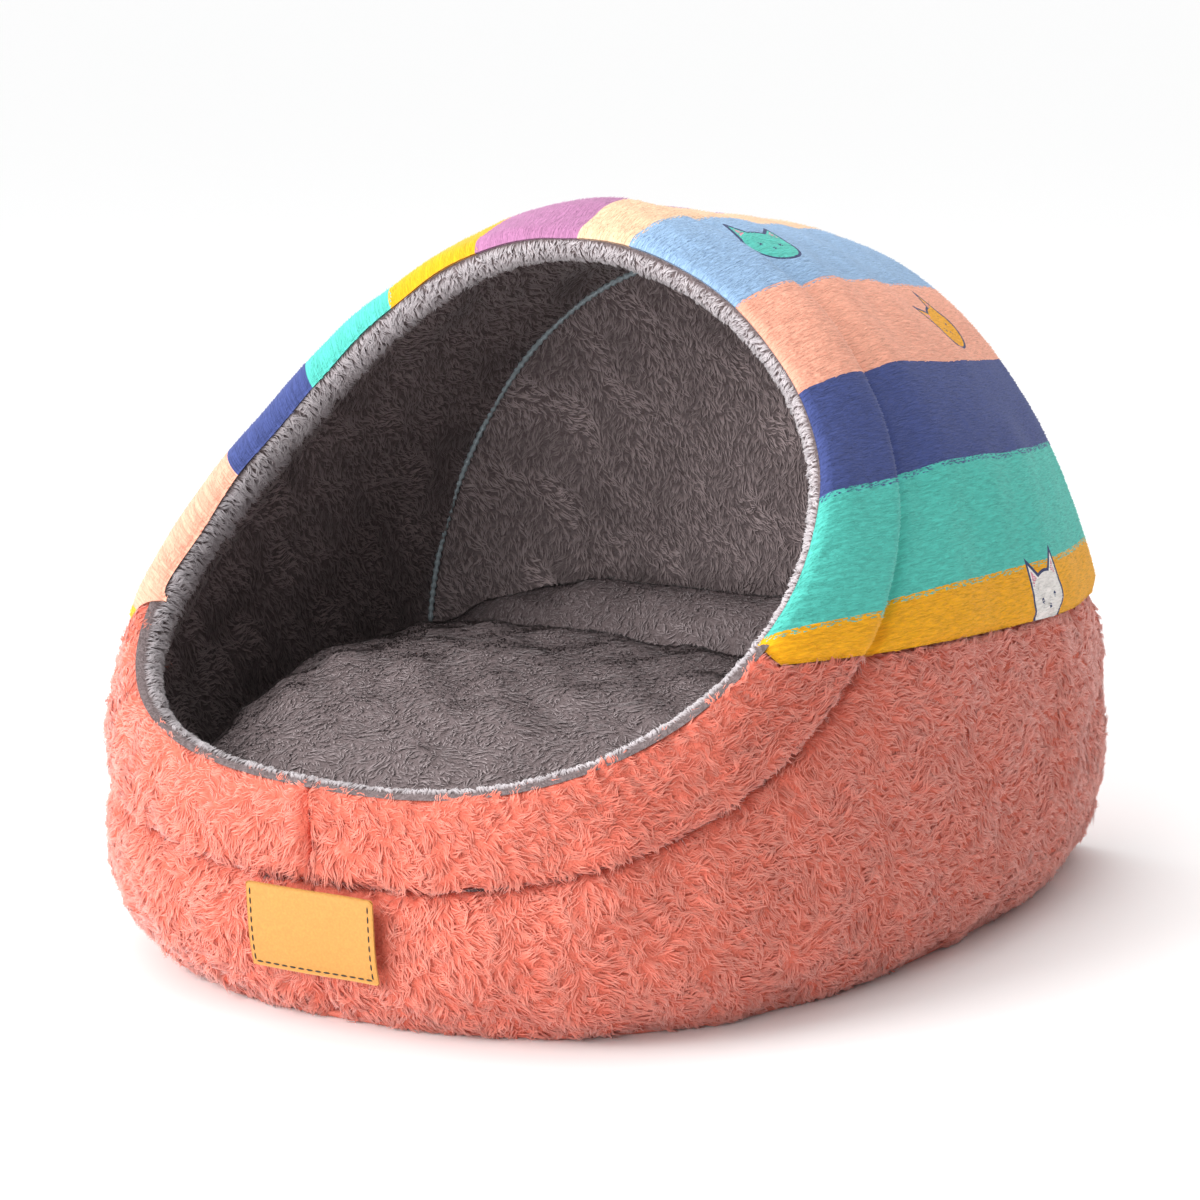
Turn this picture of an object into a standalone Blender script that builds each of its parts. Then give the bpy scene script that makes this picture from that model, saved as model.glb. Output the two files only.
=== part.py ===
"""Cat cave bed: padded plush walls, a striped padded roof, a turned-over plush lining and a loose filled cushion.

Metres, +Z up, origin on the floor under the middle of the bed. The opening faces -Y.

The outer form is one surface, found along rays from a point inside the bed. A ray has a turn round the
opening's axis (0 at the front lip, 180 at the top) and a level: 0 at the rim, 1 at the stitched groove
behind the collar, 2 at the foot or the back seam. The padded panels and the lining share those rays.
"""

import math

import bpy
import numpy as np

# Outline of the bed, pile included
FRONT_Y = -0.2240
BACK_Y = 0.2277
WIDEST_Y = 0.1077
HALF_WIDTH = 0.2045
BACK_HALF_WIDTH = 0.1745
PLAN_POWER = 2.8
BACK_TAPER_POWER = 1.5
ROOF_BACK_HEIGHT = 0.3037
ROOF_SLOPE = -0.1625
ROOF_CURVE = -0.093
ARCH_POWER = 1.94
KNEE_HEIGHT = 0.0707
FOOT_TUCK = 0.0205
FOOT_TUCK_POWER = 3.5
BACK_ROUNDING = 0.021
BACK_SEAM_Y = 0.2213

# Opening: where the outer cloth ends and the lining's roll begins, seen from the side
LIP_Y = -0.2145
LIP_HEIGHT = 0.0975
RIM_TOP_Y = -0.0029
RIM_TOP_DROP = 0.0175
RIM_BOW = 0.240
RIM_SIDE_INSET = 0.008
COLLAR_WIDTH_FRONT = 0.036
COLLAR_WIDTH_TOP = 0.046
COLLAR_ROUNDING_POWER = 2.2

# Line between the plush walls and the striped roof
WAIST_HEIGHT = 0.1409
WAIST_SLOPE = -0.0691
WAIST_MIDDLE_Y = 0.1120

# Rays
RAY_CENTRE = np.array([0.0, 0.0277, 0.085])
AXIS_TILT = math.radians(45)
CORNER_RIM_TURN = math.radians(56)
CORNER_RIM_SHARE = 0.8
CORNER_POWER = 1.5

# Cloth and padding
LINING_THICKNESS = 0.0032
LAYER_GAP = 0.0007
SEAM_GAP = 0.0004
ROLL_RADIUS = 0.0095
ROLL_AHEAD = 0.0075
ROLL_DEPTH = 0.0055
GROOVE_DEPTH = 0.0045
GROOVE_HALF_WIDTH = 0.10
SEAM_DIP = 0.0012
UNEVENNESS = 0.0016
EDGE_EASE = 0.3
NOSE_ANGLES = (135, 100, 65, 30, -5, -40, -72)
ROLL_BACK_ANGLES = (131, 98, 65, 30, -5, -40, -70)
ROLL_FRONT_ANGLES = (139.5, 105, 70, 35, 0, -35, -66)

# Distance from the opening's axis to each seam, which turns its gap into a turn
FRONT_SEAM_RADIUS = 0.20
SIDE_SEAM_RADIUS = 0.16

# Levels of the section's points, with the padding's thickness at each
SECTION = [
    # level, thickness
    (0.0, 0.0125),
    (0.12, 0.0145),
    (0.32, 0.0175),
    (0.56, 0.0180),
    (0.80, 0.0140),
    (1.0, 0.0085),
    (1.10, 0.0140),
    (1.25, 0.0180),
    (1.48, 0.0205),
    (1.70, 0.0200),
    (1.86, 0.0160),
    (2.0, 0.0090),
]
LEVELS = np.array([level for level, _ in SECTION])
THICKNESSES = np.array([thickness for _, thickness in SECTION])

# Lines round the half loop: front to back corner, corner to waist seam, waist seam to the top
FRONT_LINES = 12
CORNER_LINES = 4
ROOF_LINES = 13

# Base panel, back panel and back lining
BASE_THICKNESS = 0.0095
BASE_EDGE_INSET = 0.84
BASE_BACK_POINTS = 5
LINING_FOOT = 0.0125
LINING_END_CLEARANCE = 0.0030
LINING_END_Y = 0.2095
BACK_THICKNESS = 0.0500
BACK_RINGS = (1.0, 0.88, 0.72, 0.40)
BACK_CROWN_POWER = 6
LINING_BACK_REACH = 0.985
BACK_CENTRE_HEIGHT = 0.125

# Cushion
CUSHION_FRONT_Y = -0.1915
CUSHION_BACK_Y = 0.1690
CUSHION_HALF_WIDTH = 0.1725
CUSHION_WIDEST_Y = 0.0850
CUSHION_POWER = 2.75
CUSHION_FLOOR = 0.0105
CUSHION_SEAM_HEIGHT = 0.058
CUSHION_CROWN = 0.050
CUSHION_EDGE_POWER = 6.0
CUSHION_DOME_POWER = 0.75
CUSHION_REAR_RISE = 0.022
CUSHION_REAR_LENGTH = 0.34
CUSHION_REAR_POWER = 4
CUSHION_AROUND = 40
CUSHION_UNDERSIDE = ((0.5, 0.0), (0.86, 0.0), (0.945, 0.006), (0.985, 0.018))
CUSHION_TOP_RINGS = (1.0, 0.975, 0.92, 0.82, 0.68, 0.52, 0.35, 0.18)
VALLEY_Y = 0.0597
VALLEY_HALF_WIDTH = 0.020
VALLEY_DEPTH = 0.015
VALLEY_REACH = 0.150
VALLEY_MIDDLE_X = 0.03
VALLEY_BEND = 0.35
VALLEY_SLANT = 0.05
VALLEY_EDGE_POWER = 6

# Label
LABEL_WIDTH = 0.063
LABEL_HEIGHT = 0.0375
LABEL_THICKNESS = 0.0014
LABEL_STANDOFF = 0.0008
LABEL_X = 0.0065
LABEL_Z = 0.0455
LABEL_COLUMNS = 8
LABEL_ROWS = 3

COLOURS = {
    "coral_plush": (0.78, 0.20, 0.14),
    "striped_plush": (0.10, 0.62, 0.52),
    "grey_plush": (0.16, 0.145, 0.145),
    "tan_leather": (0.80, 0.50, 0.14),
}


def clear_scene():
    for obj in list(bpy.data.objects):
        bpy.data.objects.remove(obj)


def material(name):
    found = bpy.data.materials.get(name)
    if found:
        return found
    made = bpy.data.materials.new(name)
    made.use_nodes = True
    shader = made.node_tree.nodes["Principled BSDF"]
    shader.inputs["Base Color"].default_value = (*COLOURS[name], 1.0)
    shader.inputs["Roughness"].default_value = 0.45 if name == "tan_leather" else 0.95
    shader.inputs["Metallic"].default_value = 0.0
    made.diffuse_color = (*COLOURS[name], 1.0)
    return made


def add_object(name, points, faces, colour, collection):
    """One closed mesh as one named object."""
    mesh = bpy.data.meshes.new(name)
    mesh.from_pydata([tuple(p) for p in points], [], faces)
    mesh.validate()
    mesh.materials.append(material(colour))
    mesh.shade_smooth()
    obj = bpy.data.objects.new(name, mesh)
    collection.objects.link(obj)
    return obj


# Outer form


def corner_drop(y):
    """How far the form draws in as it rounds over to the back seam."""
    share = np.clip((y - (BACK_Y - BACK_ROUNDING)) / BACK_ROUNDING, 0, 0.98)
    return BACK_ROUNDING * (1 - np.sqrt(1 - share**2))


def half_width(y):
    """Half the plan's width at y."""
    ahead = np.clip((WIDEST_Y - y) / (WIDEST_Y - FRONT_Y), 0, 1)
    width = HALF_WIDTH * (1 - ahead**PLAN_POWER) ** (1 / PLAN_POWER)
    behind = np.clip((y - WIDEST_Y) / (BACK_Y - WIDEST_Y), 0, 1)
    width = width - (HALF_WIDTH - BACK_HALF_WIDTH) * behind**BACK_TAPER_POWER
    return width - corner_drop(y)


def roof_height(y):
    from_back = y - BACK_Y
    return ROOF_BACK_HEIGHT + ROOF_SLOPE * from_back + ROOF_CURVE * from_back**2 - corner_drop(y)


def foot_tuck(z):
    """How far the foot is drawn in at height z."""
    below = np.clip(1 - z / KNEE_HEIGHT, 0, 1.2)
    return FOOT_TUCK * below**FOOT_TUCK_POWER


def untucked_y(y, z):
    """Y on the plan of a place whose foot is drawn back from the front."""
    share = foot_tuck(z) / (WIDEST_Y - FRONT_Y)
    return np.where(y < WIDEST_Y, (y - share * WIDEST_Y) / (1 - share), y)


def arch_x(width, height, z):
    """Half-width of the arched section at height z, with the foot tucked in."""
    rise = np.clip((z - KNEE_HEIGHT) / np.maximum(height - KNEE_HEIGHT, 1e-6), 0, 1)
    x = width * (1 - rise**ARCH_POWER) ** (1 / ARCH_POWER)
    return np.maximum(x - foot_tuck(z), 0)


def within(x, y, z):
    """Whether a place is inside the outer form."""
    height = roof_height(y)
    return (arch_x(half_width(untucked_y(y, z)), height, z) > np.abs(x)) & (z < height)


def directions(turn, spread):
    """Unit rays for a turn round the opening's axis and a spread away from it."""
    turn, spread = np.broadcast_arrays(turn, spread)
    side = np.sin(spread) * np.sin(turn)
    down = np.sin(spread) * np.cos(turn)
    along = np.cos(spread)
    y = -along * math.cos(AXIS_TILT) - down * math.sin(AXIS_TILT)
    z = along * math.sin(AXIS_TILT) - down * math.cos(AXIS_TILT)
    return np.stack([side, y, z], -1)


def angles(points):
    """Turn, spread and distance of points, the reverse of directions."""
    away = points - RAY_CENTRE
    along = -away[..., 1] * math.cos(AXIS_TILT) + away[..., 2] * math.sin(AXIS_TILT)
    down = -away[..., 1] * math.sin(AXIS_TILT) - away[..., 2] * math.cos(AXIS_TILT)
    turn = np.arctan2(away[..., 0], down)
    spread = np.arctan2(np.hypot(away[..., 0], down), along)
    return turn, spread, np.linalg.norm(away, axis=-1)


def form_distance(rays):
    """Distance along each ray to the outer form, by halving."""
    near = np.zeros(rays.shape[:-1])
    far = np.full(rays.shape[:-1], 0.6)
    for _ in range(34):
        middle = (near + far) / 2
        points = RAY_CENTRE + rays * middle[..., None]
        inside = within(points[..., 0], points[..., 1], points[..., 2])
        near = np.where(inside, middle, near)
        far = np.where(inside, far, middle)
    return near


def rim_line(count=241):
    """Right half of the rim, from the lip to the top."""
    share = (1 - np.cos(np.linspace(0, math.pi, count))) / 2
    top = roof_height(np.array(RIM_TOP_Y)) - RIM_TOP_DROP
    z = LIP_HEIGHT + (top - LIP_HEIGHT) * share
    y = LIP_Y + (RIM_TOP_Y - LIP_Y) * share + RIM_BOW * share * (1 - share)
    stretched = WIDEST_Y + (y - WIDEST_Y) * (FRONT_Y - WIDEST_Y) / (LIP_Y - WIDEST_Y)
    x = arch_x(half_width(stretched) - RIM_SIDE_INSET, roof_height(stretched) - RIM_TOP_DROP, z)
    x[0] = x[-1] = 0
    return np.stack([x, y, z], -1)


RIM_TURNS, RIM_SPREADS, RIM_REACHES = angles(rim_line())


def rim_spread(turn):
    return np.interp(np.abs(turn), RIM_TURNS, RIM_SPREADS)


def rim_reach(turn):
    return np.interp(np.abs(turn), RIM_TURNS, RIM_REACHES)


def halved(low, high, too_far):
    """The value between low and high where too_far turns true."""
    for _ in range(30):
        middle = (low + high) / 2
        over = too_far(middle)
        low = np.where(over, low, middle)
        high = np.where(over, middle, high)
    return (low + high) / 2


def form_points(turn, spread):
    rays = directions(turn, spread)
    return RAY_CENTRE + rays * form_distance(rays)[..., None]


def groove_spread(turn):
    """Spread at which the form is one collar's width from the rim."""
    start = RAY_CENTRE + directions(turn, rim_spread(turn)) * rim_reach(turn)[..., None]
    width = COLLAR_WIDTH_FRONT + (COLLAR_WIDTH_TOP - COLLAR_WIDTH_FRONT) * (1 - np.cos(turn)) / 2
    low = rim_spread(turn)
    return halved(low, low + 0.6, lambda s: np.linalg.norm(form_points(turn, s) - start, axis=-1) > width)


def end_spread(turn):
    """Spread at which the form meets the floor or the back seam."""

    def past_edge(spread):
        points = form_points(turn, spread)
        return (points[..., 2] < 0) | (points[..., 1] > BACK_SEAM_Y)

    return halved(groove_spread(turn), np.full(np.shape(turn), math.radians(165)), past_edge)


TURN_TABLE = np.linspace(0, math.pi, 361)
GROOVE_TABLE = groove_spread(TURN_TABLE)
END_TABLE = end_spread(TURN_TABLE)


def level_spread(turn, level):
    """Spread of a level: rim 0, groove 1, foot or back seam 2."""
    turn = np.abs(turn)
    rim = rim_spread(turn)
    groove = np.interp(turn, TURN_TABLE, GROOVE_TABLE)
    end = np.interp(turn, TURN_TABLE, END_TABLE)
    collar = rim + (groove - rim) * np.clip(level, 0, 1)
    return collar + (end - groove) * np.clip(level - 1, 0, 1)


def waist_z(y):
    return WAIST_HEIGHT + WAIST_SLOPE * (y - WAIST_MIDDLE_Y)


def waist_turns():
    """Turn of the seam between wall and roof at each level."""
    found = []
    for level in LEVELS:
        points = form_points(TURN_TABLE, level_spread(TURN_TABLE, level))
        above = points[:, 2] - waist_z(points[:, 1])
        found.append(np.interp(0, above, TURN_TABLE))
    return np.array(found)


def corner_turns(waist):
    """Turn of the line that ends in the bottom back corner."""
    ends = form_points(TURN_TABLE, END_TABLE)
    on_floor = ends[:, 2] < 0.0005
    corner = TURN_TABLE[on_floor].max()
    share = (LEVELS / LEVELS[-1]) ** CORNER_POWER
    start = min(CORNER_RIM_TURN, CORNER_RIM_SHARE * waist[0])
    return start + (corner - start) * share


WAIST_TURNS = waist_turns()
CORNER_TURNS = corner_turns(WAIST_TURNS)


def between(first, last, count):
    share = np.linspace(0, 1, count + 1)[:, None]
    return first + (last - first) * share


def wall_lines():
    """Turns of the wall's lines, a row for each line and a column for each level."""
    front = between(np.zeros(len(LEVELS)), CORNER_TURNS, FRONT_LINES)
    rear = between(CORNER_TURNS, WAIST_TURNS, CORNER_LINES)
    return np.vstack([front, rear[1:]])


def roof_lines():
    """Turns from the right waist seam over the top to the left one."""
    right = between(WAIST_TURNS, np.full(len(LEVELS), math.pi), ROOF_LINES)
    left = 2 * math.pi - right[-2::-1]
    return np.vstack([right, left])


def signed(turns):
    """Turns past the top become turns on the left side."""
    return np.where(turns > math.pi, turns - 2 * math.pi, turns)


def softness(points):
    """Slow, shallow unevenness of the stuffing."""
    x, y, z = points[..., 0], points[..., 1], points[..., 2]
    first = np.sin(21 * x + 9 * z + 0.4) * np.cos(17 * y - 11 * z + 1.1)
    second = np.sin(37 * y + 23 * z - 0.7) * np.cos(31 * x + 5 * y)
    return UNEVENNESS * (0.65 * first + 0.35 * second)


def section_grids(turns, seam_rows=()):
    """Outer and inner surface points of a padded panel, a row for each line and a column for each level."""
    turns = signed(turns)
    spreads = level_spread(turns, LEVELS)
    rays = directions(turns, spreads)
    reach = form_distance(rays)
    rim_gap = reach[:, :1] - rim_reach(turns[:, :1])
    reach = reach - rim_gap * np.clip(1 - LEVELS, 0, 1) ** COLLAR_ROUNDING_POWER
    reach = reach - GROOVE_DEPTH * np.exp(-(((LEVELS - 1) / GROOVE_HALF_WIDTH) ** 2))
    inside_edges = np.clip(LEVELS / EDGE_EASE, 0, 1) * np.clip((2 - LEVELS) / EDGE_EASE, 0, 1)
    reach = reach + softness(RAY_CENTRE + rays * reach[..., None]) * inside_edges
    inner = RAY_CENTRE + rays * (reach - THICKNESSES)[..., None]
    for row in seam_rows:
        reach[row] -= SEAM_DIP * inside_edges
    outer = RAY_CENTRE + rays * reach[..., None]
    return outer, inner, turns


def roll_frame(rim_points, turns):
    """Centre of the turned-over roll at each line, with its directions towards the opening and outwards."""
    spread = rim_spread(turns)
    outward = directions(turns, spread)
    ahead = directions(turns, spread - math.pi / 2)
    centre = rim_points + ahead * ROLL_AHEAD - outward * ROLL_DEPTH
    return centre, ahead, outward


def arc(frame, radius, degrees):
    """Points of the roll round its centre: an array of lines by angles."""
    centre, ahead, outward = frame
    angle = np.radians(degrees)[None, :, None]
    return centre[:, None] + radius * (ahead[:, None] * np.cos(angle) + outward[:, None] * np.sin(angle))


# Meshes


def band(start, after, size, turned_from=None):
    """Triangles between two rings of a grid.

    Facing layers share their diagonals, so the gap between them stays even. A ring that runs back along itself
    turns its diagonals from that point on.
    """
    turned_from = size if turned_from is None else turned_from
    faces = []
    for k in range(size):
        following = (k + 1) % size
        a, b, c, d = start + k, start + following, after + following, after + k
        if k < turned_from:
            faces += [(a, b, c), (a, c, d)]
        else:
            faces += [(a, b, d), (b, c, d)]
    return faces


def panel_mesh(name, turns, colour, collection, seam_rows):
    """A padded panel: rings across its section, joined line to line, with structured ends."""
    outer, inner, turns = section_grids(turns, seam_rows)
    frame = roll_frame(outer[:, 0], turns[:, 0])
    nose_radius = ROLL_RADIUS - LINING_THICKNESS - LAYER_GAP
    nose = arc(frame, nose_radius, NOSE_ANGLES)
    rings = np.concatenate([outer[:, ::-1], nose, inner[:, 1:]], axis=1)
    lines, size = rings.shape[:2]
    faces = []
    for line in range(lines - 1):
        faces += band(line * size, (line + 1) * size, size)
    last_outer = len(LEVELS) - 1
    for line, flip in ((0, True), (lines - 1, False)):
        start = line * size
        ends = []
        for k in range(last_outer - 1):
            a, b, c, d = start + k, start + k + 1, start + size - 2 - k, start + size - 1 - k
            ends += [(a, b, c), (a, c, d)]
        nose_foot = start + size - last_outer
        for k in range(start + last_outer - 1, nose_foot - 1):
            ends.append((nose_foot, k, k + 1))
        faces += [face[::-1] if flip else face for face in ends]
    return add_object(name, rings.reshape(-1, 3), oriented(rings.reshape(-1, 3), faces), colour, collection)


def volume(points, faces):
    total = 0.0
    for face in faces:
        first = points[face[0]]
        for k in range(1, len(face) - 1):
            total += np.dot(first, np.cross(points[face[k]], points[face[k + 1]]))
    return total


def oriented(points, faces):
    """The same faces, turned so that they point out of the body."""
    if volume(points, faces) < 0:
        return [tuple(reversed(face)) for face in faces]
    return faces


def shell_of_rings(name, rings, first_point, last_point, colour, collection):
    """Closed loops joined in order, with a fan to a point at each end."""
    rings = np.array(rings)
    count, size = rings.shape[:2]
    points = np.vstack([rings.reshape(-1, 3), [first_point, last_point]])
    faces = []
    for k in range(count - 1):
        faces += band(k * size, (k + 1) * size, size)
    for j in range(size):
        following = (j + 1) % size
        faces.append((following, j, count * size))
        a, b = (count - 1) * size + j, (count - 1) * size + following
        faces.append((a, b, count * size + 1))
    return add_object(name, points, oriented(points, faces), colour, collection)


def nudged(turns, first, last):
    """The panel's outermost lines, moved off the seam by half its gap."""
    turns = turns.copy()
    turns[0] += first
    turns[-1] -= last
    return turns


def walls(collection):
    lines = wall_lines()
    right = nudged(lines, SEAM_GAP / FRONT_SEAM_RADIUS, SEAM_GAP / SIDE_SEAM_RADIUS)
    panel_mesh("wall_right", right, "coral_plush", collection, (0, -1))
    panel_mesh("wall_left", -right[::-1], "coral_plush", collection, (0, -1))


def roof(collection):
    side_gap = SEAM_GAP / SIDE_SEAM_RADIUS
    panel_mesh("roof_panel", nudged(roof_lines(), side_gap, side_gap), "striped_plush", collection, (0, -1))


def full_loop():
    """All lines round the loop: right wall, roof, left wall, without a repeat."""
    wall, over = wall_lines(), roof_lines()
    left_wall = 2 * math.pi - wall[::-1]
    return np.vstack([wall, over[1:], left_wall[1:-1]])


def cut_share(start, end, axis, limit):
    """Share of the way from start to end where the coordinate passes the limit, 1 if it doesn't."""
    travel = end[:, axis] - start[:, axis]
    share = np.where(np.abs(travel) > 1e-9, (limit - start[:, axis]) / np.where(travel == 0, 1, travel), 1.0)
    return np.where((share > 0) & (share < 1), share, 1.0)


def lining_wall(collection):
    """The cave's lining: a sheet inside the padding, turned over the collar's edge into a roll."""
    outer, inner, turns = section_grids(full_loop())
    rows = len(turns)
    frame = roll_frame(outer[:, 0], turns[:, 0])
    near_wall = arc(frame, ROLL_RADIUS - LINING_THICKNESS, ROLL_BACK_ANGLES)
    visible = arc(frame, ROLL_RADIUS, ROLL_FRONT_ANGLES)
    rays = directions(turns, level_spread(turns, LEVELS))
    sheet_back = inner - rays * LAYER_GAP
    floor_share = cut_share(sheet_back[:, -2], sheet_back[:, -1], 2, LINING_FOOT)
    wall_share = cut_share(sheet_back[:, -2], sheet_back[:, -1], 1, LINING_END_Y)
    share = np.minimum(floor_share, wall_share)[:, None]
    sheet_back[:, -1] = sheet_back[:, -2] + (sheet_back[:, -1] - sheet_back[:, -2]) * share
    sheet_back[:, -1] -= rays[:, -1] * LINING_END_CLEARANCE
    sheet_front = sheet_back - rays * LINING_THICKNESS
    sheet_front[:, -1, 2] = np.maximum(sheet_front[:, -1, 2], LINING_FOOT)
    rings = np.concatenate([near_wall, sheet_back[:, 1:], sheet_front[:, :0:-1], visible[:, ::-1]], axis=1)
    size = rings.shape[1]
    faces = []
    for line in range(rows):
        faces += band(line * size, (line + 1) % rows * size, size, turned_from=size // 2)
    points = rings.reshape(-1, 3)
    return add_object("lining_wall", points, oriented(points, faces), "grey_plush", collection)


def edge_rings():
    """Outer and inner edge points of the walls and roof, in order round the loop from the front."""
    outer, inner, turns = section_grids(full_loop())
    return outer[:, -1], inner[:, -1], turns[:, -1]


def corner_rows():
    """Rows of the loop at the right and left bottom back corners."""
    return FRONT_LINES, len(full_loop()) - FRONT_LINES


def back_foot(points):
    """Points between the two bottom back corners, from the first to the last."""
    share = np.linspace(0, 1, BASE_BACK_POINTS + 2)[1:-1, None]
    return points[0] + (points[-1] - points[0]) * share


def shrunk(points, centre, distance):
    """Points moved towards a centre by a distance."""
    towards = centre - points
    return points + towards / np.linalg.norm(towards, axis=-1)[:, None] * distance


def base_panel(collection):
    outer, inner, _ = edge_rings()
    right, left = corner_rows()
    count = len(outer)
    front_rows = list(range(left, count)) + list(range(right + 1))
    centre = np.array([0.0, 0.0, 0.0])

    def loop(edge):
        front = edge[front_rows]
        back = back_foot(np.array([front[-1], front[0]]))
        return np.vstack([front, back])

    bottom = loop(outer)
    bottom[:, 2] = 0
    bottom = shrunk(bottom, centre, LAYER_GAP)
    bottom[:, 2] = 0
    middle = loop(inner)
    lift = middle[:, 2].copy()
    middle = shrunk(middle * [1, 1, 0], centre, 2 * LAYER_GAP)
    middle[:, 2] = lift - LAYER_GAP
    top = middle * [BASE_EDGE_INSET, BASE_EDGE_INSET, 0] + [0, 0, BASE_THICKNESS]
    shell_of_rings(
        "base_panel",
        [bottom, middle, top],
        centre,
        centre + [0, 0, BASE_THICKNESS],
        "coral_plush",
        collection,
    )


def back_outlines():
    """The back seam's outer and inner edge, round from the right corner over the top and along the floor."""
    outer, inner, _ = edge_rings()
    right, left = corner_rows()
    rows = list(range(right, left + 1))
    loops = []
    for edge in (outer, inner):
        arch = edge[rows]
        foot = back_foot(np.array([arch[-1], arch[0]]))
        loops.append(np.vstack([arch, foot]))
    return loops


def bulge(scale):
    """Share of the crown at a scale, straight between the rings."""
    knots = np.array(BACK_RINGS[::-1])
    return np.interp(scale, knots, 1 - knots**BACK_CROWN_POWER)


def crowned_ring(edge, face_y, scale):
    """The edge drawn in towards the arch's centre by a scale, and out towards its crowned face."""
    centre = np.array([0.0, 0.0, BACK_CENTRE_HEIGHT])
    ring = centre + (edge - centre) * np.reshape(scale, (-1, 1))
    ring[:, 1] = edge[:, 1] + (face_y - edge[:, 1]) * bulge(scale)
    return ring


def drawn_in(edge, distance):
    """The edge moved towards the arch's centre, in its own plane."""
    centre = np.array([0.0, 0.0, BACK_CENTRE_HEIGHT]) + edge * [0, 1, 0]
    return shrunk(edge, centre, distance)


def back_panel(collection):
    """The padded arch at the back, crowned outwards and inwards."""
    outer, inner = (drawn_in(edge, LAYER_GAP) for edge in back_outlines())
    inner_face_y = BACK_Y - BACK_THICKNESS
    rings = [crowned_ring(inner, inner_face_y, scale) for scale in reversed(BACK_RINGS)]
    rings += [crowned_ring(outer, BACK_Y, scale) for scale in BACK_RINGS]
    first = np.array([0.0, inner_face_y, BACK_CENTRE_HEIGHT])
    last = np.array([0.0, BACK_Y, BACK_CENTRE_HEIGHT])
    shell_of_rings("back_panel", rings, first, last, "coral_plush", collection)


def lining_back(collection):
    """The grey arch sheet on the back panel's inner face, standing just above the base panel."""
    edge = drawn_in(back_outlines()[1], LAYER_GAP)
    inner_face_y = BACK_Y - BACK_THICKNESS
    rise = BACK_CENTRE_HEIGHT - edge[:, 2]
    above_base = (BACK_CENTRE_HEIGHT - LINING_FOOT) / np.maximum(rise, 1e-6)
    reach = np.where(rise > 0, np.minimum(above_base, LINING_BACK_REACH), LINING_BACK_REACH)
    layers = []
    for sheet in (LAYER_GAP, LAYER_GAP + LINING_THICKNESS):
        for scale in BACK_RINGS:
            ring = crowned_ring(edge, inner_face_y, np.minimum(scale, reach))
            layers.append(ring - [0, sheet, 0])
    far = layers[: len(BACK_RINGS)][::-1]
    near = layers[len(BACK_RINGS) :]
    first = np.array([0.0, inner_face_y - LAYER_GAP, BACK_CENTRE_HEIGHT])
    last = first - [0, LINING_THICKNESS, 0]
    shell_of_rings("lining_back", far + near, first, last, "grey_plush", collection)


def cushion_outline(count):
    """Plan of the cushion: round at the front, squarer at the back."""
    angle = np.linspace(0, 2 * math.pi, count, endpoint=False)
    sine, cosine = np.sin(angle), np.cos(angle)
    power = 2 / CUSHION_POWER
    x = CUSHION_HALF_WIDTH * np.sign(sine) * np.abs(sine) ** power
    reach = np.where(cosine > 0, CUSHION_WIDEST_Y - CUSHION_FRONT_Y, CUSHION_BACK_Y - CUSHION_WIDEST_Y)
    y = CUSHION_WIDEST_Y - reach * np.sign(cosine) * np.abs(cosine) ** power
    return np.stack([x, y], -1)


def valley(x, y):
    """Depth of the sunken channel that crosses the cushion."""
    line = VALLEY_Y + VALLEY_BEND * x * x / CUSHION_HALF_WIDTH - VALLEY_SLANT * x
    across = np.exp(-(((y - line) / VALLEY_HALF_WIDTH) ** 2))
    reach = np.clip(1 - ((x - VALLEY_MIDDLE_X) / VALLEY_REACH) ** 2, 0, 1)
    return VALLEY_DEPTH * across * reach


def cushion(collection):
    outline = cushion_outline(CUSHION_AROUND)
    middle = np.array([0.0, (CUSHION_FRONT_Y + CUSHION_BACK_Y) / 2])

    def top_height(plan, scale):
        crown = CUSHION_CROWN * (1 - scale**CUSHION_EDGE_POWER) ** CUSHION_DOME_POWER
        rear = CUSHION_REAR_RISE * np.clip((plan[:, 1] - CUSHION_FRONT_Y) / CUSHION_REAR_LENGTH, 0, 1)
        rear = rear * (1 - scale**CUSHION_REAR_POWER)
        sunk = valley(plan[:, 0], plan[:, 1]) * (1 - scale**VALLEY_EDGE_POWER)
        return CUSHION_SEAM_HEIGHT + crown + rear - sunk

    rings = []
    for scale, height in CUSHION_UNDERSIDE:
        plan = middle + (outline - middle) * scale
        rings.append(np.column_stack([plan, np.full(len(plan), CUSHION_FLOOR + height)]))
    for scale in CUSHION_TOP_RINGS:
        plan = middle + (outline - middle) * scale
        rings.append(np.column_stack([plan, top_height(plan, scale)]))
    bottom = np.array([*middle, CUSHION_FLOOR])
    top = np.array([*middle, top_height(middle[None], 0.0)[0]])
    shell_of_rings("cushion", rings, bottom, top, "grey_plush", collection)


def front_face_y(x, z):
    """Y of the front wall's outer form at a place on it."""

    return halved(np.full(np.shape(x), FRONT_Y - 0.01), np.zeros(np.shape(x)), lambda y: within(x, y, z))


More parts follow.
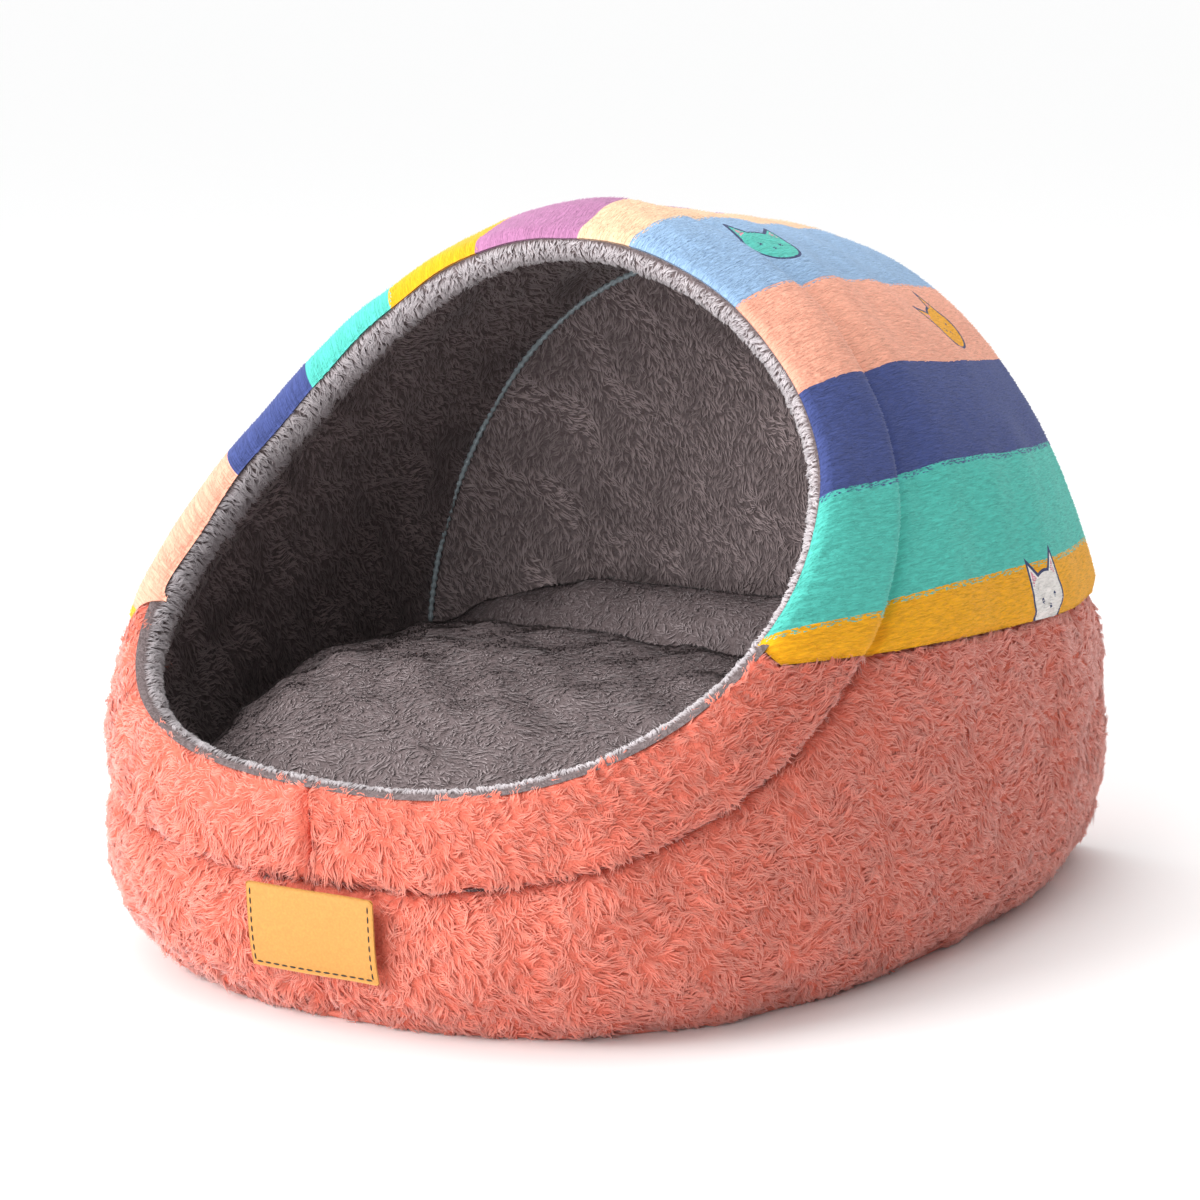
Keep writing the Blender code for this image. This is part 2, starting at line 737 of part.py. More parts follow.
def label(collection):
    """The patch, bent to the front wall."""
    columns = np.linspace(-LABEL_WIDTH / 2, LABEL_WIDTH / 2, LABEL_COLUMNS + 1) + LABEL_X
    rows = np.linspace(-LABEL_HEIGHT / 2, LABEL_HEIGHT / 2, LABEL_ROWS + 1) + LABEL_Z
    x, z = np.meshgrid(columns, rows)
    y = front_face_y(x, z)
    front = np.stack([x, y - LABEL_STANDOFF - UNEVENNESS - LABEL_THICKNESS, z], -1)
    back = front + [0, LABEL_THICKNESS, 0]
    points = np.vstack([front.reshape(-1, 3), back.reshape(-1, 3)])
    size = front.shape[0] * front.shape[1]
    width = front.shape[1]
    faces = []
    for row in range(LABEL_ROWS):
        for column in range(LABEL_COLUMNS):
            a = row * width + column
            faces.append((a, a + 1, a + 1 + width, a + width))
            faces.append((a + size, a + width + size, a + 1 + width + size, a + 1 + size))
    border = [(c, c + 1) for c in range(LABEL_COLUMNS)]
    border += [(r * width + LABEL_COLUMNS, (r + 1) * width + LABEL_COLUMNS) for r in range(LABEL_ROWS)]
    border += [(LABEL_ROWS * width + c + 1, LABEL_ROWS * width + c) for c in reversed(range(LABEL_COLUMNS))]
    border += [((r + 1) * width, r * width) for r in reversed(range(LABEL_ROWS))]
    faces += [(b, a, a + size, b + size) for a, b in border]
    add_object("label", points, oriented(points, faces), "tan_leather", collection)


def main():
    clear_scene()
    collection = bpy.data.collections.new("cat_cave_bed")
    bpy.context.scene.collection.children.link(collection)
    base_panel(collection)
    walls(collection)
    roof(collection)
    back_panel(collection)
    lining_wall(collection)
    lining_back(collection)
    cushion(collection)
    label(collection)


main()
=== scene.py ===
"""Cat cave bed, dressed: curly coral plush walls, a striped velvet roof, grey plush lining and cushion.

Metres, +Z up, the mouth towards -Y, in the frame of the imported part. The outer form is the part's own: found
along rays from a point inside the bed, by a turn round the mouth's axis (0 at the front lip, 180 at the top)
and a level (0 at the rim, 1 at the stitched groove behind the collar, 2 at the foot or the back seam).
Each cloth is a fine grid on that form, and each pile is real blades rooted on its cloth.
"""

import math

import bpy
import numpy as np
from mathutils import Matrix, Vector
from mathutils.kdtree import KDTree


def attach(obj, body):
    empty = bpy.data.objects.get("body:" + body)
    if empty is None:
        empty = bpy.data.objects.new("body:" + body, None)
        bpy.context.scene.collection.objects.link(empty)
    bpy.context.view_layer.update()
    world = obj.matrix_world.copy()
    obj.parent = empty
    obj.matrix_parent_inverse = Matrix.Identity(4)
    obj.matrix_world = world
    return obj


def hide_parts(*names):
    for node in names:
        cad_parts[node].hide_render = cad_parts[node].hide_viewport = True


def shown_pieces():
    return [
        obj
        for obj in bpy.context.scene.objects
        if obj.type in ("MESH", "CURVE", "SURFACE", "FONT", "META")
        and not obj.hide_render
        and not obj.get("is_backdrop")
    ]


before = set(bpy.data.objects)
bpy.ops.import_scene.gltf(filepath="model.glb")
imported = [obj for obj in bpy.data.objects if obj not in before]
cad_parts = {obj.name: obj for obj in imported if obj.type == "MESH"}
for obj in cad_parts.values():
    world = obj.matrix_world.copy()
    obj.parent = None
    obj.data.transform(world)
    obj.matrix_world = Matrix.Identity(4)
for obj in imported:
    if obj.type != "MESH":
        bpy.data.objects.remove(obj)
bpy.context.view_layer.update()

# Outer form, pile included, as in the part
FRONT_Y = -0.2240
BACK_Y = 0.2277
WIDEST_Y = 0.1077
HALF_WIDTH = 0.2045
BACK_HALF_WIDTH = 0.1745
PLAN_POWER = 2.8
BACK_TAPER_POWER = 1.5
ROOF_BACK_HEIGHT = 0.3037
ROOF_SLOPE = -0.1625
ROOF_CURVE = -0.093
ARCH_POWER = 1.94
KNEE_HEIGHT = 0.0707
FOOT_TUCK = 0.0205
FOOT_TUCK_POWER = 3.5
BACK_ROUNDING = 0.021
BACK_SEAM_Y = 0.2213
LIP_Y = -0.2145
LIP_HEIGHT = 0.0975
RIM_TOP_Y = -0.0029
RIM_TOP_DROP = 0.0175
RIM_BOW = 0.240
RIM_SIDE_INSET = 0.008
COLLAR_WIDTH_FRONT = 0.036
COLLAR_WIDTH_TOP = 0.046
COLLAR_ROUNDING_POWER = 2.2
WAIST_HEIGHT = 0.1409
WAIST_SLOPE = -0.0691
WAIST_MIDDLE_Y = 0.1120
LEFT_WAIST_DROP = 0.015
LEFT_DROP_FROM_Y = 0.10
LEFT_DROP_LENGTH = 0.16
RAY_CENTRE = np.array([0.0, 0.0277, 0.085])
AXIS_TILT = math.radians(45)
CORNER_RIM_TURN = math.radians(56)

# Padding, as in the part: its thickness at levels from the rim to the foot
PADDING_LEVELS = (0.0, 0.12, 0.32, 0.56, 0.80, 1.0, 1.10, 1.25, 1.48, 1.70, 1.86, 2.0)
PADDING_THICKNESS = (0.0125, 0.0145, 0.0175, 0.018, 0.014, 0.0085, 0.014, 0.018, 0.0205, 0.020, 0.016, 0.009)
UNEVENNESS = 0.0016
GROOVE_DEPTH = 0.0054
GROOVE_HALF_WIDTH = 0.10
STITCH_DEPTH = 0.0036
STITCH_HALF_WIDTH = 0.0020
COLLAR_LENGTH = 0.041
BODY_LENGTH = 0.130
SEAM_DEPTH = 0.0032
SEAM_HALF_WIDTH = 0.0040
HEM_DEPTH = 0.0025

# Ribs of the striped cloth: its length round the arch for each degree, and their stretch along the stripe
ARC_PER_DEGREE = 0.0038
RIB_STRETCH = 0.12

# Padded nose round the mouth: each value's middle, and what the left, both sides and the top add to it;
# the outer cloth ends at an angle round the nose, in degrees, and the grey lining goes on from there
NOSE_RADIUS = (0.0098, 0.0020, 0.0012, 0.0002)
NOSE_OUTWARD = (-0.0030, -0.0010, 0.0, -0.0020)
NOSE_AHEAD = (0.0030, 0.0022, 0.0003, 0.0)
NOSE_EDGE = (25.0, -20.0, -7.0, 3.0)
NOSE_START_LEVEL = 0.13

# How far each cloth lies below the tips of its pile
CORAL_SINK = 0.0036
STRIPE_SINK = 0.0010
ROLL_SINK = 0.0028

# Lining
LINING_SETBACK = 0.0012
LINING_FOOT = 0.0125
LINING_SEAM_Y = 0.1435
LINING_MIDDLE_Y = 0.1690
INNER_FOLD_DEPTH = 0.030
INNER_FOLD_TURN = 92.0
INNER_FOLD_SPREAD = 30.0
BACK_CENTRE_HEIGHT = 0.125
LINING_PILE_FROM = 0.060
BACK_PILE_FROM = 0.092
PIPING_RADIUS = 0.0014
PIPING_PITCH = 0.0042

# Cushion
CUSHION_FRONT_Y = -0.1915
CUSHION_BACK_Y = 0.1690
CUSHION_HALF_WIDTH = 0.1725
CUSHION_WIDEST_Y = 0.0850
CUSHION_POWER = 2.75
CUSHION_FLOOR = 0.0105
CUSHION_SEAM_HEIGHT = 0.058
CUSHION_CROWN = 0.050
CUSHION_REAR_RISE = 0.022
CUSHION_SHRINK = 0.004
FRONT_WIDENING = 0.075
FRONT_REACH = 0.007
FLATTER_POWER = 0.62
CUSHION_VOXEL = 0.007
CUSHION_PUSH = 0.022
CUSHION_FRAMES = 20
CUSHION_PRESSURE = 4.0
CHANNEL_Y = 0.0700
CHANNEL_BEND = 0.9
CHANNEL_TILT = 0.05
CHANNEL_HALF_LENGTH = 0.150
HOLLOW_DEPTH = 0.009
HOLLOW_WIDTH = 0.020
CUT_DEPTH = 0.008
CUT_WIDTH = 0.0100
REAR_LIFT = 0.009
REAR_LENGTH = 0.045
FRONT_DROP = 0.011
FRONT_EASE = 0.007
CREASE_DEPTH = 0.0018
CREASE_PITCH = 0.024

# Ripples of each cloth: depth, size and seed
WALL_RIPPLES = ((0.0007, 0.007, 5), (0.0010, 0.045, 6))
ROOF_RIPPLES = ((0.0007, 0.050, 7),)
BACK_RIPPLES = ((0.0008, 0.050, 8),)
LINING_RIPPLES = ((0.0015, 0.075, 11),)
LINING_BACK_RIPPLES = ((0.0022, 0.075, 9), (0.0010, 0.030, 12))
CUSHION_RIPPLES = ((0.0013, 0.032, 10),)

# Cloth that each blade of a pile stands on, in square metres
WALL_BLADE_AREA = 1.8e-6
ROOF_BLADE_AREA = 2.5e-6
BACK_BLADE_AREA = 5.0e-6
ROLL_BLADE_AREA = 0.72e-6
LINING_BLADE_AREA = 3.8e-6
LINING_BACK_BLADE_AREA = 3.0e-6
CUSHION_BLADE_AREA = 4.2e-6
CUSHION_PILE_FROM = 0.055

# Rings of the bottom cloth, from its inside to its underside: scale of the edge, and height
BASE_RINGS = (
    (0.9, 0.009),
    (0.1, 0.009),
    (1.0, 0.0030),
    (0.995, 0.0006),
    (0.97, 0.0002),
    (0.9, 0.0),
    (0.7, 0.0),
    (0.4, 0.0),
    (0.1, 0.0),
)

# Label
LABEL_WIDTH = 0.063
LABEL_HEIGHT = 0.0375
LABEL_THICKNESS = 0.0014
LABEL_X = 0.0065
LABEL_Z = 0.0455
LABEL_STANDOFF = 0.0020
LABEL_CORNER = 0.0016
LABEL_STITCH_INSET = 0.0022
LABEL_ROUNDING = 0.0007
STITCH_PITCH = 0.0042
STITCH_RADIUS = 0.00042
STITCH_RINGS = 7
STITCH_SIDES = 6

# Camera, found from the photograph's outlines
EYE = Vector((0.78965, -1.31590, 0.45024))
TARGET = Vector((0.00353, 0.01409, 0.14489))
LENS = 100.87
SENSOR = 36.0


def linear(red, green, blue):
    """A colour from 0 to 255 as the linear values that shaders take."""
    values = np.array([red, green, blue]) / 255
    return tuple(np.where(values <= 0.04045, values / 12.92, ((values + 0.055) / 1.055) ** 2.4))


# Pile colours from root to middle to tip: the darker root colours are painted shade down among the blades, and
# the paler tips are in part a painted highlight
CORAL_ROOT_SHADE = linear(208, 100, 82)
CORAL_MID = linear(220, 120, 101)
CORAL_TIP = linear(238, 158, 141)
GREY_ROOT_SHADE = linear(98, 86, 86)
GREY_MID = linear(132, 119, 120)
GREY_TIP = linear(168, 155, 156)
LINING_ROOT_SHADE = linear(124, 109, 109)
LINING_MID = linear(154, 138, 138)
LINING_TIP = linear(186, 170, 170)
ROLL_MID = linear(178, 169, 172)
ROLL_TIP = linear(214, 207, 210)
YELLOW = linear(246, 174, 26)
TEAL = linear(88, 198, 184)
NAVY = linear(70, 82, 138)
PEACH = linear(247, 176, 150)
BLUE = linear(150, 182, 216)
CREAM = linear(240, 200, 164)
MAUVE = linear(178, 120, 160)
INK = linear(60, 70, 110)
WHITE = linear(246, 240, 236)
PINK = linear(226, 150, 170)
TAN = linear(200, 142, 66)
THREAD_BLACK = linear(28, 26, 26)
THREAD_GREY = linear(176, 190, 196)

STRIPES = [
    # from this angle round the arch, in degrees from the right knee, to the next
    (0.0, YELLOW),
    (22.6, TEAL),
    (35.2, NAVY),
    (48.4, PEACH),
    (62.0, BLUE),
    (79.5, CREAM),
    (88.5, MAUVE),
    (103.6, YELLOW),
    (119.0, TEAL),
    (133.4, NAVY),
    (145.4, PEACH),
    (160.8, YELLOW),
]

MOTIFS = [
    # y, angle round the arch, size, turn in degrees, fill
    (0.104, 19.0, 0.0165, 5.0, WHITE),
    (0.066, 70.5, 0.0160, -20.0, TEAL),
    (0.158, 54.0, 0.0160, 24.0, YELLOW),
    (0.020, 136.5, 0.0160, 182.0, CREAM),
    (0.120, 109.0, 0.0160, 200.0, WHITE),
    (0.150, 165.0, 0.0160, 178.0, PEACH),
    (-0.040, 153.0, 0.0150, 160.0, BLUE),
]


# Outer form


def corner_drop(y):
    """How far the form draws in as it rounds over to the back seam."""
    share = np.clip((y - (BACK_Y - BACK_ROUNDING)) / BACK_ROUNDING, 0, 0.98)
    return BACK_ROUNDING * (1 - np.sqrt(1 - share**2))


def half_width(y):
    """Half the plan's width at y."""
    ahead = np.clip((WIDEST_Y - y) / (WIDEST_Y - FRONT_Y), 0, 1)
    width = HALF_WIDTH * (1 - ahead**PLAN_POWER) ** (1 / PLAN_POWER)
    behind = np.clip((y - WIDEST_Y) / (BACK_Y - WIDEST_Y), 0, 1)
    width = width - (HALF_WIDTH - BACK_HALF_WIDTH) * behind**BACK_TAPER_POWER
    return width - corner_drop(y)


def roof_height(y):
    from_back = y - BACK_Y
    return ROOF_BACK_HEIGHT + ROOF_SLOPE * from_back + ROOF_CURVE * from_back**2 - corner_drop(y)


def foot_tuck(z):
    """How far the foot is drawn in at height z."""
    below = np.clip(1 - z / KNEE_HEIGHT, 0, 1.2)
    return FOOT_TUCK * below**FOOT_TUCK_POWER


def untucked_y(y, z):
    """Y on the plan of a place whose foot is drawn back from the front."""
    share = foot_tuck(z) / (WIDEST_Y - FRONT_Y)
    return np.where(y < WIDEST_Y, (y - share * WIDEST_Y) / (1 - share), y)


def arch_x(width, height, z):
    """Half-width of the arched section at height z, with the foot tucked in."""
    rise = np.clip((z - KNEE_HEIGHT) / np.maximum(height - KNEE_HEIGHT, 1e-6), 0, 1)
    x = width * (1 - rise**ARCH_POWER) ** (1 / ARCH_POWER)
    return np.maximum(x - foot_tuck(z), 0)


def within(x, y, z):
    """Whether a place is inside the outer form."""
    height = roof_height(y)
    return (arch_x(half_width(untucked_y(y, z)), height, z) > np.abs(x)) & (z < height)


def directions(turn, spread):
    """Unit rays for a turn round the mouth's axis and a spread away from it."""
    turn, spread = np.broadcast_arrays(turn, spread)
    side = np.sin(spread) * np.sin(turn)
    down = np.sin(spread) * np.cos(turn)
    along = np.cos(spread)
    y = -along * math.cos(AXIS_TILT) - down * math.sin(AXIS_TILT)
    z = along * math.sin(AXIS_TILT) - down * math.cos(AXIS_TILT)
    return np.stack([side, y, z], -1)


def angles(points):
    """Turn, spread and distance of points, the reverse of directions."""
    away = points - RAY_CENTRE
    along = -away[..., 1] * math.cos(AXIS_TILT) + away[..., 2] * math.sin(AXIS_TILT)
    down = -away[..., 1] * math.sin(AXIS_TILT) - away[..., 2] * math.cos(AXIS_TILT)
    turn = np.arctan2(away[..., 0], down)
    spread = np.arctan2(np.hypot(away[..., 0], down), along)
    return turn, spread, np.linalg.norm(away, axis=-1)


def form_distance(rays):
    """Distance along each ray to the outer form, by halving."""
    near = np.zeros(rays.shape[:-1])
    far = np.full(rays.shape[:-1], 0.6)
    for _ in range(26):
        middle = (near + far) / 2
        points = RAY_CENTRE + rays * middle[..., None]
        inside = within(points[..., 0], points[..., 1], points[..., 2])
        near = np.where(inside, middle, near)
        far = np.where(inside, far, middle)
    return near


def rim_line(count=481):
    """Right half of the rim, from the lip to the top."""
    share = (1 - np.cos(np.linspace(0, math.pi, count))) / 2
    top = roof_height(np.array(RIM_TOP_Y)) - RIM_TOP_DROP
    z = LIP_HEIGHT + (top - LIP_HEIGHT) * share
    y = LIP_Y + (RIM_TOP_Y - LIP_Y) * share + RIM_BOW * share * (1 - share)
    stretched = WIDEST_Y + (y - WIDEST_Y) * (FRONT_Y - WIDEST_Y) / (LIP_Y - WIDEST_Y)
    x = arch_x(half_width(stretched) - RIM_SIDE_INSET, roof_height(stretched) - RIM_TOP_DROP, z)
    x[0] = x[-1] = 0
    return np.stack([x, y, z], -1)


RIM_TURNS, RIM_SPREADS, RIM_REACHES = angles(rim_line())


def rim_spread(turn):
    return np.interp(np.abs(turn), RIM_TURNS, RIM_SPREADS)


def rim_reach(turn):
    return np.interp(np.abs(turn), RIM_TURNS, RIM_REACHES)


def halved(low, high, too_far):
    """The value between low and high where too_far turns true."""
    for _ in range(24):
        middle = (low + high) / 2
        over = too_far(middle)
        low = np.where(over, low, middle)
        high = np.where(over, middle, high)
    return (low + high) / 2


def form_points(turn, spread):
    rays = directions(turn, spread)
    return RAY_CENTRE + rays * form_distance(rays)[..., None]


def groove_spread(turn):
    """Spread at which the form is one collar's width from the rim."""
    start = RAY_CENTRE + directions(turn, rim_spread(turn)) * rim_reach(turn)[..., None]
    width = COLLAR_WIDTH_FRONT + (COLLAR_WIDTH_TOP - COLLAR_WIDTH_FRONT) * (1 - np.cos(turn)) / 2
    low = rim_spread(turn)
    return halved(low, low + 0.6, lambda s: np.linalg.norm(form_points(turn, s) - start, axis=-1) > width)


def end_spread(turn):
    """Spread at which the form meets the floor or the back seam."""

    def past_edge(spread):
        points = form_points(turn, spread)
        return (points[..., 2] < 0) | (points[..., 1] > BACK_SEAM_Y)

    return halved(groove_spread(turn), np.full(np.shape(turn), math.radians(165)), past_edge)


TURN_TABLE = np.linspace(0, math.pi, 721)
GROOVE_TABLE = groove_spread(TURN_TABLE)
END_TABLE = end_spread(TURN_TABLE)
CORNER_TURN = TURN_TABLE[form_points(TURN_TABLE, END_TABLE)[:, 2] < 0.0005].max()


def level_spread(turn, level):
    """Spread of a level: rim 0, groove 1, foot or back seam 2."""
    turn = np.abs(turn)
    rim = rim_spread(turn)
    groove = np.interp(turn, TURN_TABLE, GROOVE_TABLE)
    end = np.interp(turn, TURN_TABLE, END_TABLE)
    collar = rim + (groove - rim) * np.clip(level, 0, 1)
    return collar + (end - groove) * np.clip(level - 1, 0, 1)


def waist_turns(levels, side=1):
    """Turn of the seam between wall and roof at each level, on the right or, a little lower, on the left."""
    found = []
    for level in levels:
        points = form_points(TURN_TABLE, level_spread(TURN_TABLE, level))
        above = points[:, 2] - (WAIST_HEIGHT + WAIST_SLOPE * (points[:, 1] - WAIST_MIDDLE_Y))
        if side < 0:
            ahead = np.clip((LEFT_DROP_FROM_Y - points[:, 1]) / LEFT_DROP_LENGTH, 0, 1)
            above = above + LEFT_WAIST_DROP * ahead
        found.append(np.interp(0, above, TURN_TABLE))
    return np.array(found)


def corner_turns(levels, waist):
    """Turn of the line that ends in the bottom back corner."""
    start = min(CORNER_RIM_TURN, 0.8 * waist[0])
    return start + (CORNER_TURN - start) * (levels / 2) ** 1.5


def signed(turns):
    """Turns past the top become turns on the left side."""
    return np.where(turns > math.pi, turns - 2 * math.pi, turns)


def waves(points, size, seed, count=9):
    """Smooth noise from -1 to 1: crossing ripples about one size long."""
    rng = np.random.default_rng(seed)
    aim = rng.normal(size=(count, 3))
    aim *= (rng.uniform(0.6, 1.5, count) / np.linalg.norm(aim, axis=1))[:, None] * 2 * math.pi / size
    shift = rng.uniform(0, 2 * math.pi, count)
    total = np.zeros(points.shape[:-1])
    for direction, start in zip(aim, shift):
        total += np.sin(points @ direction + start)
    return total / math.sqrt(count)


def ripples(points, parts):
    """Sum of waves, each given by its depth, size and seed."""
    return sum(depth * waves(points, size, seed) for depth, size, seed in parts)


def softness(points):
    """Slow, shallow unevenness of the stuffing."""
    x, y, z = points[..., 0], points[..., 1], points[..., 2]
    first = np.sin(21 * x + 9 * z + 0.4) * np.cos(17 * y - 11 * z + 1.1)
    second = np.sin(37 * y + 23 * z - 0.7) * np.cos(31 * x + 5 * y)
    return UNEVENNESS * (0.65 * first + 0.35 * second)


def around_mouth(parts, turns):
    """A value of the padded nose at turns round the mouth."""
    left, top = -np.sin(turns), -np.cos(turns)
    return parts[0] + parts[1] * left + parts[2] * left**2 + parts[3] * top


def nose_edge(turns):
    """Angle round the nose at which the outer cloth meets the lining, in degrees."""
    return around_mouth(NOSE_EDGE, turns)


def nose_points(turns, angles_deg, sink):
    """Points of the nose: a row for each turn, a column for each angle, 90 outward, 0 ahead, -90 inward."""
    turns = signed(turns)
    spread = rim_spread(turns)
    outward = directions(turns, spread)
    ahead = directions(turns, spread - math.pi / 2)
    centre = RAY_CENTRE + outward * (rim_reach(turns) + around_mouth(NOSE_OUTWARD, turns))[:, None]
    centre = centre + ahead * around_mouth(NOSE_AHEAD, turns)[:, None]
    angle = np.radians(angles_deg)[..., None]
    around = ahead[:, None] * np.cos(angle) + outward[:, None] * np.sin(angle)
    return centre[:, None] + (around_mouth(NOSE_RADIUS, turns) - sink)[:, None, None] * around


def with_nose(turns, points, sink):
    """Outer cloth with the nose added before its first column."""
    edge = nose_edge(signed(turns))[:, None]
    share = np.linspace(0, 1, 10)[None]
    return np.concatenate([nose_points(turns, edge + (76 - edge) * share, sink), points], 1)


def padded_reach(turns, levels):
    """Rays and distances of the outer cloth at turns and levels."""
    rays = directions(turns, level_spread(turns, levels))
    reach = form_distance(rays)
    rim_gap = form_distance(directions(turns, rim_spread(turns))) - rim_reach(turns)
    rim_gap = rim_gap - around_mouth(NOSE_RADIUS, turns) - around_mouth(NOSE_OUTWARD, turns)
    reach = reach - rim_gap * np.clip(1 - levels, 0, 1) ** COLLAR_ROUNDING_POWER
    reach = reach - GROOVE_DEPTH * np.exp(-(((levels - 1) / GROOVE_HALF_WIDTH) ** 2))
    edges = np.clip(levels / 0.3, 0, 1) * np.clip((2 - levels) / 0.3, 0, 1)
    reach = reach + softness(RAY_CENTRE + rays * reach[..., None]) * edges
    return rays, reach


def from_groove(levels):
    """Distance from the stitched groove along the cloth."""
    return np.where(levels < 1, (1 - levels) * COLLAR_LENGTH, (levels - 1) * BODY_LENGTH)


def outer_points(turns, levels, sink):
    """Points of the outer cloth, sunk below its pile's tips."""
    turns = signed(turns)
    rays, reach = padded_reach(turns, levels)
    stitch = STITCH_DEPTH * np.exp(-((from_groove(levels) / STITCH_HALF_WIDTH) ** 2))
    return RAY_CENTRE + rays * (reach - sink - stitch)[..., None]


def fine_levels(body_rows):
    """Levels from rim to foot, close together at the stitched groove."""
    collar = np.linspace(NOSE_START_LEVEL, 0.9, 16)[:-1]
    notch = np.concatenate([np.linspace(0.9, 1.0, 6)[:-1], np.linspace(1.0, 1.045, 6)[:-1]])
    body = np.linspace(1.045, 2.0, body_rows)
    return np.concatenate([collar, notch, body])


# Meshes and pile


def unit(vectors):
    return vectors / np.maximum(np.linalg.norm(vectors, axis=-1, keepdims=True), 1e-9)


def raised(points, height):
    """Points moved away from the middle of the bed."""
    return points + unit(points - RAY_CENTRE) * height[..., None]


def circle(count):
    """Angles of points spaced evenly round a circle."""
    return np.linspace(0, 2 * math.pi, count + 1)[:-1]


def facings(points, triangles):
    """Normals of triangles, twice as long as the triangles are large."""
    corner = points[triangles]
    return np.cross(corner[:, 1] - corner[:, 0], corner[:, 2] - corner[:, 0])


def grid_border(rows, columns):
    """Indices of a grid's points, once round its edge."""
    index = np.arange(rows * columns).reshape(rows, columns)
    return np.concatenate([index[0, :-1], index[:-1, -1], index[-1, :0:-1], index[:0:-1, 0]])


class Cloth:
    """A fine grid of points: rows round the bed, columns along the pile's lie."""

    def __init__(self, points, closed=False, outward=True):
        self.points = points
        self.closed = closed
        rows, columns = points.shape[:2]
        if closed:
            across = np.roll(points, -1, 0) - np.roll(points, 1, 0)
        else:
            across = np.gradient(points, axis=0)
        along = np.gradient(points, axis=1)
        self.along = unit(along)
        self.across = unit(across)
        normals = unit(np.cross(along, across))
        away = np.sum(normals * (points - RAY_CENTRE), -1).mean()
        self.normals = normals if (away > 0) == outward else -normals
        a = np.arange(rows * columns).reshape(rows, columns)
        after = np.roll(a, -1, 0) if closed else a[1:]
        a = a if closed else a[:-1]
        first = np.stack([a[:, :-1], a[:, 1:], after[:, 1:]], -1).reshape(-1, 3)
        second = np.stack([a[:, :-1], after[:, 1:], after[:, :-1]], -1).reshape(-1, 3)
        self.triangles = np.concatenate([first, second])
        facing = facings(points.reshape(-1, 3), self.triangles)
        if np.sum(facing * self.normals.reshape(-1, 3)[self.triangles[:, 0]]) < 0:
            self.triangles = self.triangles[:, ::-1]


def linked(name, data):
    """A new object in the scene."""
    obj = bpy.data.objects.new(name, data)
    bpy.context.scene.collection.objects.link(obj)
    return obj


def mesh_object(name, points, triangles, material, normals=None, colours=None):
    """A mesh object from arrays, riding on the bed."""
    mesh = bpy.data.meshes.new(name)
    mesh.vertices.add(len(points))
    mesh.vertices.foreach_set("co", np.ascontiguousarray(points, dtype=np.float32).ravel())
    mesh.loops.add(3 * len(triangles))
    mesh.loops.foreach_set("vertex_index", np.ascontiguousarray(triangles, dtype=np.int32).ravel())
    mesh.polygons.add(len(triangles))
    mesh.polygons.foreach_set("loop_start", np.arange(0, 3 * len(triangles), 3, dtype=np.int32))
    mesh.update(calc_edges=True)
    mesh.shade_smooth()
    if colours is not None:
        layer = mesh.color_attributes.new("tint", "FLOAT_COLOR", "POINT")
        values = np.ones((len(points), 4), dtype=np.float32)
        values[:, :3] = colours
        layer.data.foreach_set("color", values.ravel())
    if normals is not None:
        mesh.normals_split_custom_set_from_vertices(normals.astype(np.float32))
    mesh.materials.append(material)
    obj = linked(name, mesh)
    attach(obj, "root")
    return obj


def cloth_object(name, cloth, material):
    return mesh_object(name, cloth.points.reshape(-1, 3), cloth.triangles, material)


def scattered(points, triangles, per_blade, rng):
    """Evenly spread places, one for each per_blade of area: their triangles and corner weights."""
    area = np.linalg.norm(facings(points, triangles), axis=1) / 2
    total = area.sum()
    count = int(total / per_blade)
    along = (np.arange(count) + rng.random(count)) / count * total
    chosen = np.searchsorted(np.cumsum(area), along).clip(0, len(triangles) - 1)
    first, second = rng.random((2, count))
    over = first + second > 1
    first[over], second[over] = 1 - first[over], 1 - second[over]
    weights = np.stack([1 - first - second, first, second], -1)
    return chosen, weights


def carried(field, triangles, chosen, weights):
    """Values of a per-point field at scattered places."""
    return np.sum(field[triangles[chosen]] * weights[..., None], axis=1)


def curled(lean, normal, turn):
    """Directions turned within the cloth by an angle."""
    side = unit(np.cross(normal, lean))
    return unit(lean * np.cos(turn)[:, None] + side * np.sin(turn)[:, None])


def blade_points(root, normal, lean, length, width, rise, curl):
    """Corner points of bent, tapered blades: two at the root, two at the bend and the tip."""
    side = unit(np.cross(normal, lean))
    length, width, rise, curl = (np.asarray(v)[:, None] for v in (length, width, rise, curl))
    bend = root + length * (normal * 0.62 * rise + lean * (0.42 - 0.2 * rise)) + side * curl * length * 0.5
    tip = root + length * (normal * rise + lean * (1.0 - 0.45 * rise)) - side * curl * length * 0.35
    half = side * width / 2
    return np.stack([root - half, root + half, bend - half * 0.9, bend + half * 0.9, tip], axis=1)


CLUMP_PULL = 0.38
BLADE_FACES = np.array([[0, 3, 1], [0, 2, 3], [2, 4, 3]])
SHORT_FACES = np.array([[0, 2, 1]])


def pile(name, blades, faces, normal, lean, colours, material):
    """One object of many blades, shaded mainly as the cloth that they stand on."""
    count, size = blades.shape[:2]
    triangles = (np.arange(count)[:, None, None] * size + faces).reshape(-1, 3)
    rows = [normal] * (size - 1) + [unit(normal * 0.85 + lean * 0.40)]
    shading = np.stack(rows, axis=1).reshape(-1, 3)
    return mesh_object(name, blades.reshape(-1, 3), triangles, material, shading, colours.reshape(-1, 3))


def clump_leaders(root, size, rng):
    """For each blade, the blade that its tuft gathers to."""
    chosen = rng.permutation(len(root))[: len(root) // size]
    tree = KDTree(len(chosen))
    for place, index in enumerate(chosen):
        tree.insert(root[index], place)
    tree.balance()
    return chosen[[tree.find(point)[1] for point in root]]


def higher_than(height):
    """Where a pile grows that starts at a height."""
    return lambda places: places[:, 2] > height


def steady(*direction):
    """A lie of the pile that is the same all over a cloth."""
    return lambda cloth: np.zeros(cloth.points.shape) + direction


